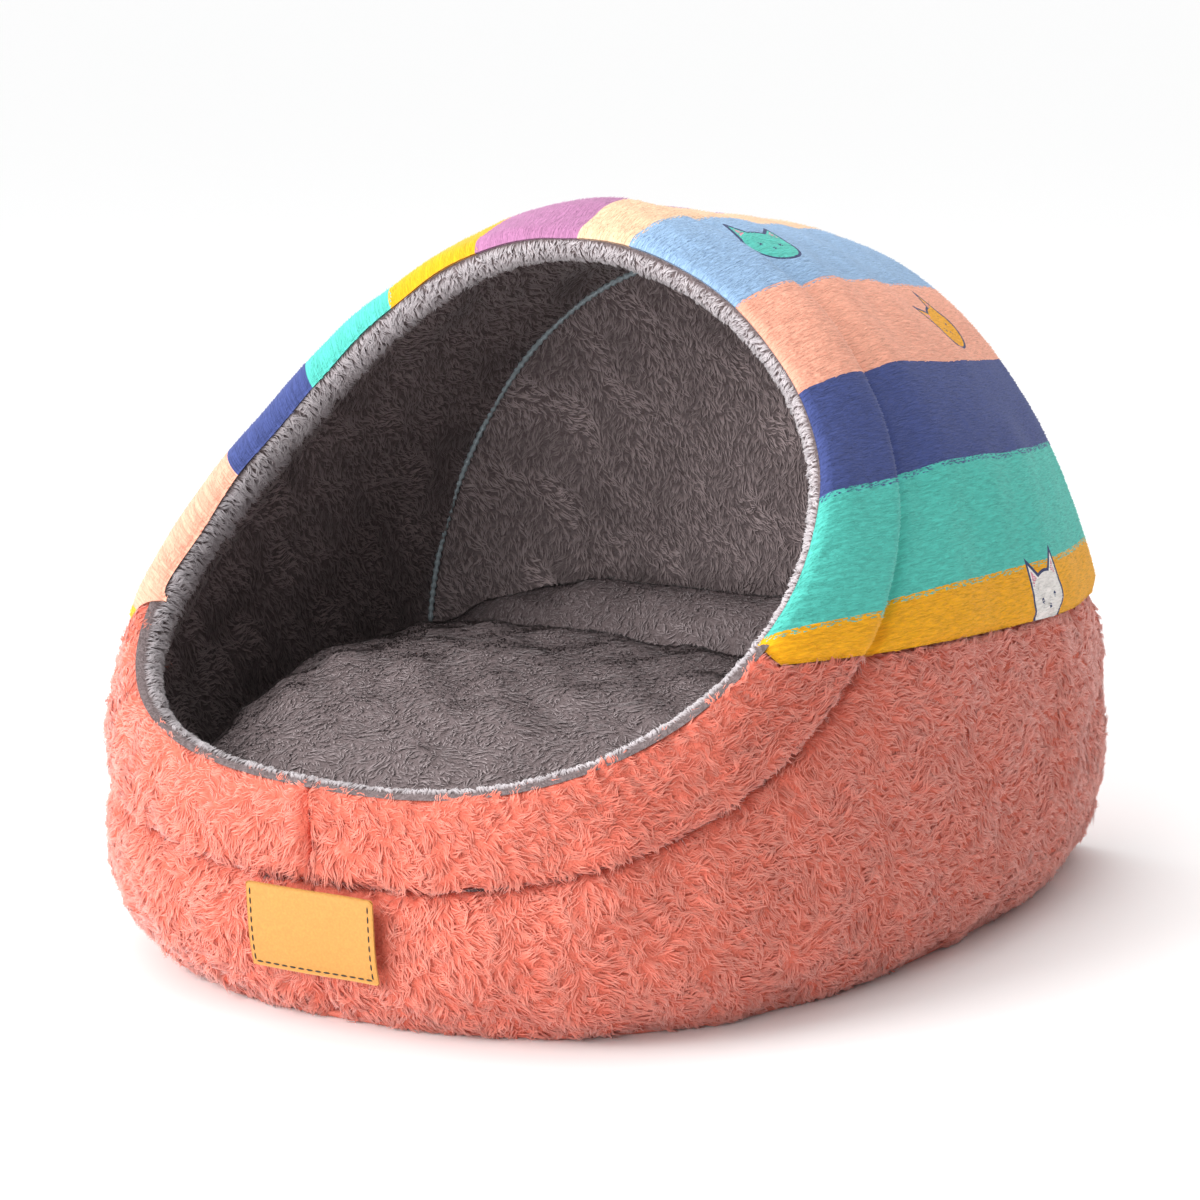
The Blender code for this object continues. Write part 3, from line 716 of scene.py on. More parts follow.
def plush(name, cloth, per_blade, look, material, seed, keep=None, lean=None, size=None):
    """A pile on a cloth: look says how its blades are cut, keep where they grow, size how long they are."""
    rng = np.random.default_rng(seed)
    points = cloth.points.reshape(-1, 3)
    chosen, weights = scattered(points, cloth.triangles, per_blade, rng)
    root = carried(points, cloth.triangles, chosen, weights)
    if keep is not None:
        kept = keep(root)
        chosen, weights, root = chosen[kept], weights[kept], root[kept]
    normal = unit(carried(cloth.normals.reshape(-1, 3), cloth.triangles, chosen, weights))
    field = cloth.along if lean is None else lean(cloth)
    direction = carried(field.reshape(-1, 3), cloth.triangles, chosen, weights)
    direction = unit(direction - normal * np.sum(direction * normal, -1, keepdims=True))
    swirl = look["swirl"] * waves(root, look["swirl_size"], seed + 1)
    swirl += 0.6 * look["swirl"] * waves(root, look["swirl_size"] * 0.35, seed + 2)
    count = len(root)
    direction = curled(direction, normal, swirl + rng.normal(0, look["stray"], count))
    length = look["length"] * rng.uniform(0.75, 1.2, count) * (1 + 0.15 * waves(root, 0.012, seed + 3))
    if size is not None:
        length = length * size(root)
    width = look["width"] * rng.uniform(0.7, 1.25, count)
    rise = look["rise"] * (1 + 0.20 * waves(root, 0.008, seed + 4)) + rng.normal(0, 0.05, count)
    rise = np.clip(rise, 0.08, 1)
    curl = look["curl"] * rng.normal(0, 1, count)
    if look["clump"] > 1:
        leader = clump_leaders(root, look["clump"], rng)
        direction = unit(direction * 0.35 + direction[leader])
        curl = 0.3 * curl + 0.9 * curl[leader]
        rise = 0.4 * rise + 0.6 * rise[leader]
    blades = blade_points(root, normal, direction, length, width, rise, curl)
    if look["clump"] > 1:
        pull = (root[leader] - root) * CLUMP_PULL
        blades += pull[:, None] * np.array([0, 0, 0.45, 0.45, 1.0])[:, None]
    if "paint" in look:
        whole = np.all(look["paint"](root) == look["paint"](blades[:, 4]), axis=-1)
        root, normal, direction, blades = root[whole], normal[whole], direction[whole], blades[whole]
        count = whole.sum()
    blades[..., 2] = np.maximum(blades[..., 2], 0.0003)
    tint = 1 + 0.05 * waves(root, 0.010, seed + 5) + rng.normal(0, look["tint"], count)
    # Painted light and shade: patches of the pile lighter and darker with its swirl, as light catches the
    # turned nap
    tint += look["nap_light_and_shade"] * waves(root, look["swirl_size"], seed + 1)
    # Colours along each blade: the root's darker colour is painted shade at the foot of the pile, and the
    # tip's paler colour is in part a painted highlight
    if "paint" in look:
        shades = np.array(look["shades"])[None, :, None]
        colours = look["paint"](root)[:, None, :] * shades * tint[:, None, None]
    else:
        root_shade, middle, tip = look["colours"]
        colours = np.array([root_shade, root_shade, middle, middle, tip])[None] * tint[:, None, None]
    faces = BLADE_FACES
    if look.get("short"):
        blades, colours, faces = blades[:, [0, 1, 4]], colours[:, [0, 2, 4]], SHORT_FACES
    return pile(name, blades, faces, normal, direction, np.clip(colours, 0, 1), material)


# Materials


def new_material(name):
    made = bpy.data.materials.new(name)
    made.use_nodes = True
    return made, made.node_tree.nodes, made.node_tree.links


def fill_inputs(node, values):
    """Set inputs of a node by name."""
    for name, value in values.items():
        node.inputs[name].default_value = value
    return node


def pile_material(name, sheen):
    """Blades: their colour is on the mesh, the soft gloss is here."""
    made, nodes, links = new_material(name)
    shader = nodes["Principled BSDF"]
    tint = nodes.new("ShaderNodeAttribute")
    tint.attribute_name = "tint"
    links.new(tint.outputs["Color"], shader.inputs["Base Color"])
    gloss = {"Roughness": 0.8, "Specular IOR Level": 0.25, "Sheen Weight": sheen, "Sheen Roughness": 0.5}
    fill_inputs(shader, gloss)
    return made


def rough_material(name, shades, stops, noise, bump, surface):
    """A surface in two shades of one fine noise that roughens it too."""
    made, nodes, links = new_material(name)
    shader = fill_inputs(nodes["Principled BSDF"], surface)
    coordinates = nodes.new("ShaderNodeTexCoord")
    grain = fill_inputs(nodes.new("ShaderNodeTexNoise"), noise)
    links.new(coordinates.outputs["Object"], grain.inputs["Vector"])
    ramp = nodes.new("ShaderNodeValToRGB")
    for element, stop, shade in zip(ramp.color_ramp.elements, stops, shades):
        element.position = stop
        element.color = (*shade, 1)
    relief = fill_inputs(nodes.new("ShaderNodeBump"), bump)
    links.new(grain.outputs["Fac"], ramp.inputs["Fac"])
    links.new(ramp.outputs["Color"], shader.inputs["Base Color"])
    links.new(grain.outputs["Fac"], relief.inputs["Height"])
    links.new(relief.outputs["Normal"], shader.inputs["Normal"])
    return made


def plush_ground_material(name, root_shade, middle):
    """The cloth between the blades: tangled and matt, and dark with painted shade in the root colours, deepest
    in the grain's hollows.
    """
    noise = {"Scale": 420.0, "Detail": 3.0, "Distortion": 1.5}
    bump = {"Strength": 0.8, "Distance": 0.0015}
    surface = {"Roughness": 0.95, "Specular IOR Level": 0.15}
    return rough_material(name, (root_shade, middle), (0.35, 0.72), noise, bump, surface)


def plain_material(name, colour, roughness=0.6):
    shades = (tuple(0.82 * c for c in colour), colour)
    noise = {"Scale": 900.0, "Detail": 4.0, "Distortion": 0.0}
    bump = {"Strength": 0.6, "Distance": 0.0002}
    return rough_material(name, shades, (0.3, 0.7), noise, bump, {"Roughness": roughness})


# Stripes and motifs


def arch_angle(points):
    """Angle round the arch in degrees: 0 at the right knee, 90 at the top, 180 at the left knee."""
    x, y, z = points[..., 0], points[..., 1], points[..., 2]
    rise = np.clip((z - KNEE_HEIGHT) / (roof_height(y) - KNEE_HEIGHT), 0, 1) ** (ARCH_POWER / 2)
    side = np.clip(np.abs(x) / half_width(y), 0, 1) ** (ARCH_POWER / 2)
    angle = np.degrees(np.arctan2(rise, side))
    return np.where(x < 0, 180 - angle, angle)


def stripe_point(angle, y):
    """Place on the roof's form at an angle round the arch and a depth y."""
    turn = np.radians(angle)
    rise = np.sin(turn) ** (2 / ARCH_POWER)
    side = np.sign(np.cos(turn)) * np.abs(np.cos(turn)) ** (2 / ARCH_POWER)
    return np.stack([half_width(y) * side, y, KNEE_HEIGHT + (roof_height(y) - KNEE_HEIGHT) * rise], -1)


def along_stripe(angle, y):
    """Unit direction of the stripe at an angle round the arch and a depth y."""
    return unit(stripe_point(angle, y + 0.001) - stripe_point(angle, y - 0.001))


def stripe_direction(points):
    """Unit direction of the stripe through each point."""
    angle = np.clip(arch_angle(points), 0.5, 179.5)
    y = np.clip(points[..., 1], FRONT_Y + 0.03, BACK_Y - BACK_ROUNDING - 0.002)
    return along_stripe(angle, y)


def motif_places(points):
    """Place of each point on the nearest cat's head, in head sizes, and that head's fill colour."""
    best = np.full(points.shape[:-1], np.inf)
    place = np.zeros(points.shape)
    fill = np.ones(points.shape)
    for y, angle, size, turn, colour in MOTIFS:
        y = np.array(y)
        centre = stripe_point(angle, y)
        first = along_stripe(angle, y)
        second = unit(stripe_point(angle + 0.3, y) - stripe_point(angle - 0.3, y))
        cosine, sine = math.cos(math.radians(turn)), math.sin(math.radians(turn))
        away = (points - centre) / size
        across = away @ (first * cosine + second * sine)
        up = away @ (second * cosine - first * sine)
        reach = np.linalg.norm(away, axis=-1)
        nearer = reach < best
        best = np.where(nearer, reach, best)
        place[nearer] = np.stack([across, up, np.zeros(across.shape)], -1)[nearer]
        fill[nearer] = colour
    return place * (1 + 30 * np.clip(best - 1.7, 0, None))[..., None], fill


HEAD_WIDTH = 1.0
HEAD_HEIGHT = 0.80
EAR_CORNERS = ((0.16, 0.55), (0.94, 0.20), (0.84, 1.28))
MOTIF_LINE = 0.055
EYE_PLACE = (0.40, 0.02)
EYE_SIZE = 0.085
NOSE_PLACE = (0.0, -0.22)
NOSE_SIZE = 0.075


def ear_edges():
    """Outward normal and offset of each side of an ear, for the signed distance to it."""
    edges = []
    for start, end in zip(EAR_CORNERS, EAR_CORNERS[1:] + EAR_CORNERS[:1]):
        along = np.subtract(end, start) / np.linalg.norm(np.subtract(end, start))
        outward = (along[1], -along[0])
        edges.append((outward, -float(np.dot(outward, start))))
    return edges


def head_gap(place):
    """Signed distance, in head sizes, to the outline of a cat's head."""
    across, up = np.abs(place[..., 0]), place[..., 1]
    ear = np.max([across * normal[0] + up * normal[1] + offset for normal, offset in ear_edges()], axis=0)
    head = np.hypot(across / HEAD_WIDTH, up / HEAD_HEIGHT) - 1
    return np.minimum(head, ear)


def stripe_paint(points):
    """Colour of the striped cloth at each point."""
    starts = np.array([start for start, _ in STRIPES])
    colours = np.array([colour for _, colour in STRIPES])
    angle = arch_angle(points) - collar_slip(points)
    painted = colours[np.searchsorted(starts, angle, side="right").clip(1, len(STRIPES)) - 1]
    place, fill = motif_places(points)
    gap = head_gap(place)
    painted = np.where((gap < 0)[..., None], fill, painted)
    return np.where((np.abs(gap) < MOTIF_LINE)[..., None], np.array(INK), painted)


def collar_slip(points):
    """Shift of the stripes on the collar, in degrees: the cloth is gathered a little at its groove."""
    turn, spread, _ = angles(points)
    collar = spread < np.interp(np.abs(turn), TURN_TABLE, GROOVE_TABLE)
    return np.where(collar, np.where(points[..., 0] < 0, 1.2, -1.2), 0.0)


class Nodes:
    """Short calls that build a node tree."""

    def __init__(self, tree):
        self.nodes, self.links = tree.nodes, tree.links

    def put(self, value, socket):
        if hasattr(value, "links"):
            self.links.new(value, socket)
        else:
            socket.default_value = value

    def math(self, operation, first, second=0.0, third=0.0):
        node = self.nodes.new("ShaderNodeMath")
        node.operation = operation
        for value, socket in zip((first, second, third), node.inputs):
            self.put(value, socket)
        return node.outputs[0]

    def mixed(self, share, first, second):
        node = self.nodes.new("ShaderNodeMix")
        node.data_type = "RGBA"
        self.put(share, node.inputs["Factor"])
        self.put(first, node.inputs["A"])
        self.put(second, node.inputs["B"])
        return node.outputs["Result"]

    def attribute(self, name, output):
        node = self.nodes.new("ShaderNodeAttribute")
        node.attribute_name = name
        return node.outputs[output]

    def disc(self, across, up, place, size):
        """1 within a size of a place."""
        away_x = self.math("SUBTRACT", across, place[0])
        away_y = self.math("SUBTRACT", up, place[1])
        reach = self.math("ADD", self.math("MULTIPLY", away_x, away_x), self.math("MULTIPLY", away_y, away_y))
        return self.math("LESS_THAN", reach, size * size)


def striped_material():
    """Short velvet with broad stripes, outlined cat's heads and fine ribs along the stripes."""
    made, nodes, links = new_material("striped_velvet")
    shader = nodes["Principled BSDF"]
    tree = Nodes(made.node_tree)
    ramp = nodes.new("ShaderNodeValToRGB")
    ramp.color_ramp.interpolation = "CONSTANT"
    elements = ramp.color_ramp.elements
    elements[0].color = (*STRIPES[0][1], 1)
    elements[1].position = STRIPES[1][0] / 180
    elements[1].color = (*STRIPES[1][1], 1)
    for start, colour in STRIPES[2:]:
        elements.new(start / 180).color = (*colour, 1)
    links.new(tree.attribute("stripe_share", "Fac"), ramp.inputs["Fac"])

    parts = nodes.new("ShaderNodeSeparateXYZ")
    links.new(tree.attribute("motif_place", "Vector"), parts.inputs["Vector"])
    across = tree.math("ABSOLUTE", parts.outputs["X"])
    up = parts.outputs["Y"]
    sides = []
    for normal, offset in ear_edges():
        reach = tree.math("MULTIPLY_ADD", across, normal[0], offset)
        sides.append(tree.math("MULTIPLY_ADD", up, normal[1], reach))
    ear = tree.math("MAXIMUM", sides[0], tree.math("MAXIMUM", sides[1], sides[2]))
    wide = tree.math("POWER", tree.math("DIVIDE", across, HEAD_WIDTH), 2.0)
    high = tree.math("POWER", tree.math("ABSOLUTE", tree.math("DIVIDE", up, HEAD_HEIGHT)), 2.0)
    head = tree.math("SUBTRACT", tree.math("SQRT", tree.math("ADD", wide, high)), 1.0)
    gap = tree.math("MINIMUM", head, ear)
    fill = tree.attribute("motif_fill", "Color")
    colour = tree.mixed(tree.math("LESS_THAN", gap, 0.0), ramp.outputs["Color"], fill)
    colour = tree.mixed(tree.math("LESS_THAN", ear, -0.13), colour, (*PINK, 1))
    colour = tree.mixed(tree.math("LESS_THAN", head, 0.0), colour, fill)
    colour = tree.mixed(tree.math("LESS_THAN", tree.math("ABSOLUTE", gap), MOTIF_LINE), colour, (*INK, 1))
    for place, size in ((EYE_PLACE, EYE_SIZE), (NOSE_PLACE, NOSE_SIZE)):
        colour = tree.mixed(tree.disc(across, up, place, size), colour, (*INK, 1))

    ribs = fill_inputs(nodes.new("ShaderNodeTexNoise"), {"Scale": 1000.0, "Detail": 2.5, "Distortion": 0.5})
    links.new(tree.attribute("rib_place", "Vector"), ribs.inputs["Vector"])
    shade = nodes.new("ShaderNodeMapRange")
    fill_inputs(shade, {"From Min": 0.32, "From Max": 0.66, "To Min": 0.72, "To Max": 1.08})
    links.new(ribs.outputs["Fac"], shade.inputs["Value"])
    shaded = nodes.new("ShaderNodeVectorMath")
    shaded.operation = "SCALE"
    links.new(colour, shaded.inputs[0])
    links.new(shade.outputs["Result"], shaded.inputs["Scale"])
    links.new(shaded.outputs["Vector"], shader.inputs["Base Color"])
    bump = fill_inputs(nodes.new("ShaderNodeBump"), {"Strength": 0.8, "Distance": 0.0008})
    links.new(ribs.outputs["Fac"], bump.inputs["Height"])
    links.new(bump.outputs["Normal"], shader.inputs["Normal"])
    gloss = {"Roughness": 0.85, "Specular IOR Level": 0.2, "Sheen Weight": 0.08, "Sheen Roughness": 0.4}
    fill_inputs(shader, gloss)
    return made


# Walls, roof and back


def between(first, last, count):
    share = np.linspace(0, 1, count + 1)[:, None]
    return first + (last - first) * share


def seam_dip(shares, lengths, levels):
    """Dip of the cloth into the seams at both ends of a panel, from distances along it."""
    away = np.minimum(shares, 1 - shares) * lengths
    groove = 1 - 0.75 * np.exp(-((from_groove(levels) / (4 * STITCH_HALF_WIDTH)) ** 2))
    return groove * SEAM_DEPTH * np.exp(-((away / SEAM_HALF_WIDTH) ** 2))


def over_nose(dip, points):
    """The dip carried on over the columns that the nose added."""
    return np.pad(dip, ((0, 0), (points.shape[1] - dip.shape[1], 0)), mode="edge")


def wall_cloth(side, levels, front_rows, rear_rows):
    """The outer cloth of one wall, from the front seam round to the waist seam."""
    waist = waist_turns(levels, side)
    corner = corner_turns(levels, waist)
    front = between(np.zeros(len(levels)), corner, front_rows)
    turns = np.vstack([front, between(corner, waist, rear_rows)[1:]])
    rows = np.repeat(levels[None], len(turns), 0)
    points = outer_points(turns * side, rows, CORAL_SINK)
    points = with_nose(turns[:, 0] * side, points, CORAL_SINK)
    points = raised(points, -over_nose(seam_dip(turns / waist, 0.5, levels), points))
    points = raised(points, ripples(points, WALL_RIPPLES))
    points[..., 2] = np.maximum(points[..., 2], 0.0008)
    return Cloth(points)


def closed_under(cloth, inner_depth, name, material):
    """The cloth's mesh with a hem that turns in behind its edges, so that no edge shows as a cut sheet."""
    hem = cloth.points - cloth.normals * inner_depth
    hem[..., 2] = np.maximum(hem[..., 2], 0.0006)
    rows, columns = cloth.points.shape[:2]
    border = grid_border(rows, columns)
    start = rows * columns
    points = np.concatenate([cloth.points.reshape(-1, 3), hem.reshape(-1, 3)[border]])
    here = np.arange(len(border))
    following = np.roll(here, -1)
    first = np.stack([border[here], border[following], start + following], -1)
    second = np.stack([border[here], start + following, start + here], -1)
    return mesh_object(name, points, np.concatenate([cloth.triangles, first, second]), material)


CORAL_LOOK = {
    "length": 0.0066,
    "width": 0.00066,
    "rise": 0.17,
    "curl": 0.32,
    "swirl": 0.85,
    "swirl_size": 0.024,
    "stray": 0.28,
    "tint": 0.04,
    "nap_light_and_shade": 0.05,
    "clump": 5,
    "colours": (CORAL_ROOT_SHADE, CORAL_MID, CORAL_TIP),
}


def towards_rim(cloth):
    """Lie of the coral pile: down the wall, and turned up over the roll next to the rim."""
    columns = cloth.points.shape[1]
    share = np.clip(np.linspace(0, 4.0, columns), 0, 1)
    turn = math.pi * (1 - share * share * (3 - 2 * share)) * 0.8
    return cloth.along * np.cos(turn)[:, None] + cloth.across * np.sin(turn)[:, None]


def shorter_at_rim(root):
    """The coral pile is short where it meets the grey roll."""
    turn, spread, _ = angles(root)
    return np.clip(0.42 + (spread - rim_spread(turn) + 0.05) / 0.22, 0.42, 1)


def clear_of_label(root):
    """True away from the label, where the pile isn't trodden down by it."""
    beside = np.abs(root[:, 0] - LABEL_X) > LABEL_WIDTH / 2 - 0.001
    above = np.abs(root[:, 2] - LABEL_Z) > LABEL_HEIGHT / 2 - 0.001
    return beside | above | (root[:, 1] > 0)


def walls(ground, blades):
    levels = fine_levels(44)
    for side, name, seed in ((1, "wall_right", 100), (-1, "wall_left", 200)):
        cloth = wall_cloth(side, levels, 150, 34)
        cover = closed_under(cloth, HEM_DEPTH, name + "_cloth", ground)
        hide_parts(name)
        growth = {"keep": clear_of_label, "lean": towards_rim, "size": shorter_at_rim}
        fur = plush(name + "_pile", cloth, WALL_BLADE_AREA, CORAL_LOOK, blades, seed, **growth)


ROOF_LOOK = {
    "length": 0.0024,
    "width": 0.00050,
    "rise": 0.22,
    "curl": 0.10,
    "swirl": 0.05,
    "swirl_size": 0.020,
    "stray": 0.05,
    "tint": 0.05,
    "nap_light_and_shade": 0.0,
    "clump": 1,
    "short": True,
    "paint": stripe_paint,
    # Along each velvet blade: darker at the root, painted shade at the foot of the pile, and brighter at the
    # tip, a painted highlight
    "shades": (0.88, 0.88, 0.98, 0.98, 1.12),
}


def roof_cloth(levels, rows):
    waist = waist_turns(levels)
    top = np.full(len(levels), math.pi)
    left = between(waist_turns(levels, -1), top, rows)
    turns = np.vstack([between(waist, top, rows), 2 * math.pi - left[-2::-1]])
    spread = np.repeat(levels[None], len(turns), 0)
    shares = (turns - waist) / (turns[-1] - waist)
    points = with_nose(turns[:, 0], outer_points(turns, spread, STRIPE_SINK), STRIPE_SINK)
    dip = over_nose(seam_dip(shares, 0.55, levels), points)
    return Cloth(raised(points, ripples(points, ROOF_RIPPLES) - dip))


def roof(blades):
    cloth = roof_cloth(fine_levels(52), 130)
    cover = closed_under(cloth, HEM_DEPTH, "roof_cloth", striped_material())
    mesh = cover.data
    points = np.empty(len(mesh.vertices) * 3, dtype=np.float32)
    mesh.vertices.foreach_get("co", points)
    points = points.reshape(-1, 3).astype(float)
    place, fill = motif_places(points)
    angle = arch_angle(points)
    ribs = np.stack([angle * ARC_PER_DEGREE, points[:, 1] * RIB_STRETCH, np.zeros(len(points))], -1)
    share = (angle - collar_slip(points)) / 180
    mesh.attributes.new("stripe_share", "FLOAT", "POINT").data.foreach_set("value", share.astype(np.float32))
    for attribute, values in (("motif_place", place), ("rib_place", ribs)):
        layer = mesh.attributes.new(attribute, "FLOAT_VECTOR", "POINT")
        layer.data.foreach_set("vector", values.astype(np.float32).ravel())
    colours = np.ones((len(points), 4), dtype=np.float32)
    colours[:, :3] = fill
    mesh.color_attributes.new("motif_fill", "FLOAT_COLOR", "POINT").data.foreach_set("color", colours.ravel())
    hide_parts("roof_panel")
    growth = {"lean": lambda cloth: stripe_direction(cloth.points)}
    fur = plush("roof_pile", cloth, ROOF_BLADE_AREA, ROOF_LOOK, blades, 300, **growth)


def back_edge(sink, rows=90):
    """The back seam from the right foot over the top to the left foot, then along the floor."""
    arch_turns = np.linspace(CORNER_TURN, 2 * math.pi - CORNER_TURN, rows)
    arch = outer_points(arch_turns, np.full(rows, 2.0), sink)
    foot = np.linspace(arch[-1], arch[0], 26)[1:-1]
    return np.vstack([arch, foot])


def back(ground, blades):
    edge = back_edge(0.0010)
    centre = np.array([0.0, 0.0, BACK_CENTRE_HEIGHT])
    scales = np.concatenate([np.linspace(1.0, 0.9, 10)[:-1], np.linspace(0.9, 0.0, 33)])
    rings = []
    for scale in scales:
        ring = centre + (edge - centre) * [scale, 1, scale]
        crown = 1 - np.clip((scale - 0.66) / 0.34, 0, 1) ** 2.6
        ring[:, 1] = edge[:, 1] + (BACK_Y - CORAL_SINK - edge[:, 1]) * crown
        rings.append(ring)
    points = np.stack(rings, 1)
    points[..., 1] += ripples(points, BACK_RIPPLES) * np.clip((1 - scales) * 8, 0, 1)
    points[..., 2] = np.maximum(points[..., 2], 0.0012)
    cloth = Cloth(points, closed=True)
    cover = cloth_object("back_cloth", cloth, ground)
    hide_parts("back_panel")
    look = {**CORAL_LOOK, "width": 0.0012}
    fur = plush("back_pile", cloth, BACK_BLADE_AREA, look, blades, 400, lean=steady(0, 0, -1))


# Lining


def lining_points(turns, levels):
    """Points of the lining's face inside the cave, with a soft fold behind the right of the rim."""
    turns = signed(turns)
    rays, reach = padded_reach(turns, levels)
    depth = np.interp(levels, PADDING_LEVELS, PADDING_THICKNESS) + LINING_SETBACK
    beside = np.exp(-(((np.degrees(turns) - INNER_FOLD_TURN) / INNER_FOLD_SPREAD) ** 2))
    behind = np.exp(-(((levels - 0.75) / 0.42) ** 2))
    depth = depth + INNER_FOLD_DEPTH * beside * behind
    return RAY_CENTRE + rays * (reach - depth)[..., None]


def lining_ends(turns):
    """Level at which the lining's side reaches the seam to its back, 2 where it reaches the floor first."""
    levels = np.linspace(1.0, 2.0, 81)
    ends = []
    for turn in turns:
        depths = lining_points(np.full(81, turn), levels)[:, 1]
        ends.append(np.interp(LINING_SEAM_Y, np.maximum.accumulate(depths) + np.arange(81) * 1e-9, levels))
    return np.array(ends)


GREY_LOOK = {
    "length": 0.0046,
    "width": 0.00075,
    "rise": 0.20,
    "curl": 0.25,
    "swirl": 0.75,
    "swirl_size": 0.030,
    "stray": 0.28,
    "tint": 0.05,
    "nap_light_and_shade": 0.10,
    "clump": 4,
    "colours": (GREY_ROOT_SHADE, GREY_MID, GREY_TIP),
}

LINING_LOOK = {
    **GREY_LOOK,
    "swirl": 0.60,
    "stray": 0.18,
    "nap_light_and_shade": 0.17,
    "colours": (LINING_ROOT_SHADE, LINING_MID, LINING_TIP),
}

ROLL_LOOK = {
    "length": 0.0050,
    "width": 0.00065,
    "rise": 0.42,
    "curl": 0.25,
    "swirl": 0.35,
    "swirl_size": 0.014,
    "stray": 0.40,
    "tint": 0.05,
    "nap_light_and_shade": 0.05,
    "clump": 8,
    "colours": (GREY_MID, ROLL_MID, ROLL_TIP),
}


def longer_on_left(root):
    """The roll's pile stands longest at the upper left, and is brushed short at the front and right."""
    turn, _, _ = angles(root)
    return 0.55 + 0.55 * np.exp(-(((np.degrees(turn) + 110) / 50) ** 2))


def lining(ground, blades):
    turns = circle(260)
    edge = nose_edge(signed(turns))[:, None]
    roll = nose_points(turns, edge + 25 - (edge + 25 + 75) * np.linspace(0, 1, 10)[None], ROLL_SINK)
    steps = [np.linspace(0.12, 0.9, 12)[:-1], np.linspace(0.9, 1.1, 9)[:-1], np.linspace(1.1, 2.0, 30)]
    steps = np.concatenate(steps)
    reach = lining_ends(signed(turns))[:, None]
    levels = np.where(steps > 1, 1 + (steps - 1) * (reach - 1), steps)
    inside = lining_points(np.repeat(turns[:, None], len(steps), 1), levels)
    inside[..., 2] = np.maximum(inside[..., 2], LINING_FOOT)
    inside = raised(inside, -ripples(inside, LINING_RIPPLES) * np.clip(steps, 0, 1))
    points = np.concatenate([roll, inside], 1)
    cloth = Cloth(points, closed=True, outward=False)
    cover = cloth_object("lining_cloth", cloth, ground)
    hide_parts("lining_wall")
    roll_cloth = Cloth(roll[:, 2:], closed=True, outward=False)
    roll_pile = plush("roll_pile", roll_cloth, ROLL_BLADE_AREA, ROLL_LOOK, blades, 500, size=longer_on_left)
    inner_cloth = Cloth(inside, closed=True, outward=False)
    growth = {"keep": higher_than(LINING_PILE_FROM)}
    inner_pile = plush("lining_pile", inner_cloth, LINING_BLADE_AREA, LINING_LOOK, blades, 600, **growth)


def inner_arch(rows=110):
    """The seam between the lining's sides and its back, from the right foot over the top to the left foot."""
    table = np.linspace(0, math.pi, 181)
    ends = lining_ends(table)
    start = table[ends < 1.999].min()
    turns = np.linspace(start, 2 * math.pi - start, rows)
    arch = lining_points(turns, lining_ends(signed(turns)))
    arch[:, 1] = LINING_SEAM_Y
    return arch


def lining_back(ground, blades, cord):
    arch = inner_arch()
    foot = np.linspace(arch[-1], arch[0], 40)[1:-1]
    foot[:, 2] = LINING_FOOT
    edge = np.vstack([arch, foot])
    centre = np.array([0.0, LINING_SEAM_Y, BACK_CENTRE_HEIGHT])
    scales = np.concatenate([[1.03], np.linspace(1.0, 0.0, 43)])
    rings = []
    for scale in scales:
        ring = centre + (edge - centre) * scale
        ring[:, 1] = LINING_SEAM_Y + (LINING_MIDDLE_Y - LINING_SEAM_Y) * (1 - min(scale, 1.0) ** 3.5)
        rings.append(ring)
    points = np.stack(rings, 1)
    inner = np.clip((1 - scales) * 5, 0, 1)
    points[..., 1] += ripples(points, LINING_BACK_RIPPLES) * inner
    points[..., 2] = np.maximum(points[..., 2], LINING_FOOT)
    cloth = Cloth(points, closed=True, outward=False)
    cover = cloth_object("lining_back_cloth", cloth, ground)
    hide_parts("lining_back")
    growth = {"keep": higher_than(BACK_PILE_FROM), "lean": steady(0.4, 0, -1)}
    fur = plush("lining_back_pile", cloth, LINING_BACK_BLADE_AREA, LINING_LOOK, blades, 700, **growth)
    seam = arch + unit(np.array([0.0, 0.060, BACK_CENTRE_HEIGHT]) - arch) * 0.0018
    piping = tube("lining_piping", seam, PIPING_RADIUS, PIPING_PITCH, cord)


def tube(name, line, radius, pitch, material):
    """A cord along a line, pinched at every stitch."""
    steps = np.concatenate([[0], np.cumsum(np.linalg.norm(np.diff(line, axis=0), axis=1))])
    places = np.arange(0, steps[-1], pitch / 5)
    path = np.stack([np.interp(places, steps, line[:, k]) for k in range(3)], -1)
    along = unit(np.gradient(path, axis=0))
    side = unit(np.cross(along, [0.0, 1.0, 0.0]))
    over = np.cross(side, along)
    thick = radius * (1 + 0.28 * np.cos(2 * math.pi * places / pitch))
    angle = circle(5)
    ring = side[:, None] * np.cos(angle)[None, :, None] + over[:, None] * np.sin(angle)[None, :, None]
    points = path[:, None] + ring * thick[:, None, None]
    return cloth_object(name, Cloth(points.transpose(1, 0, 2), closed=True), material)


# Cushion


def cushion_plan(count):
    """Plan of the cushion: round at the front, squarer at the back."""
    angle = np.linspace(0, 2 * math.pi, count, endpoint=False)
    sine, cosine = np.sin(angle), np.cos(angle)
    power = 2 / CUSHION_POWER
    x = (CUSHION_HALF_WIDTH - CUSHION_SHRINK) * np.sign(sine) * np.abs(sine) ** power
    ahead = CUSHION_WIDEST_Y - CUSHION_FRONT_Y - CUSHION_SHRINK
    behind = CUSHION_BACK_Y - CUSHION_WIDEST_Y - CUSHION_SHRINK
    y = CUSHION_WIDEST_Y - np.where(cosine > 0, ahead, behind) * np.sign(cosine) * np.abs(cosine) ** power
    return np.stack([x, y], -1)


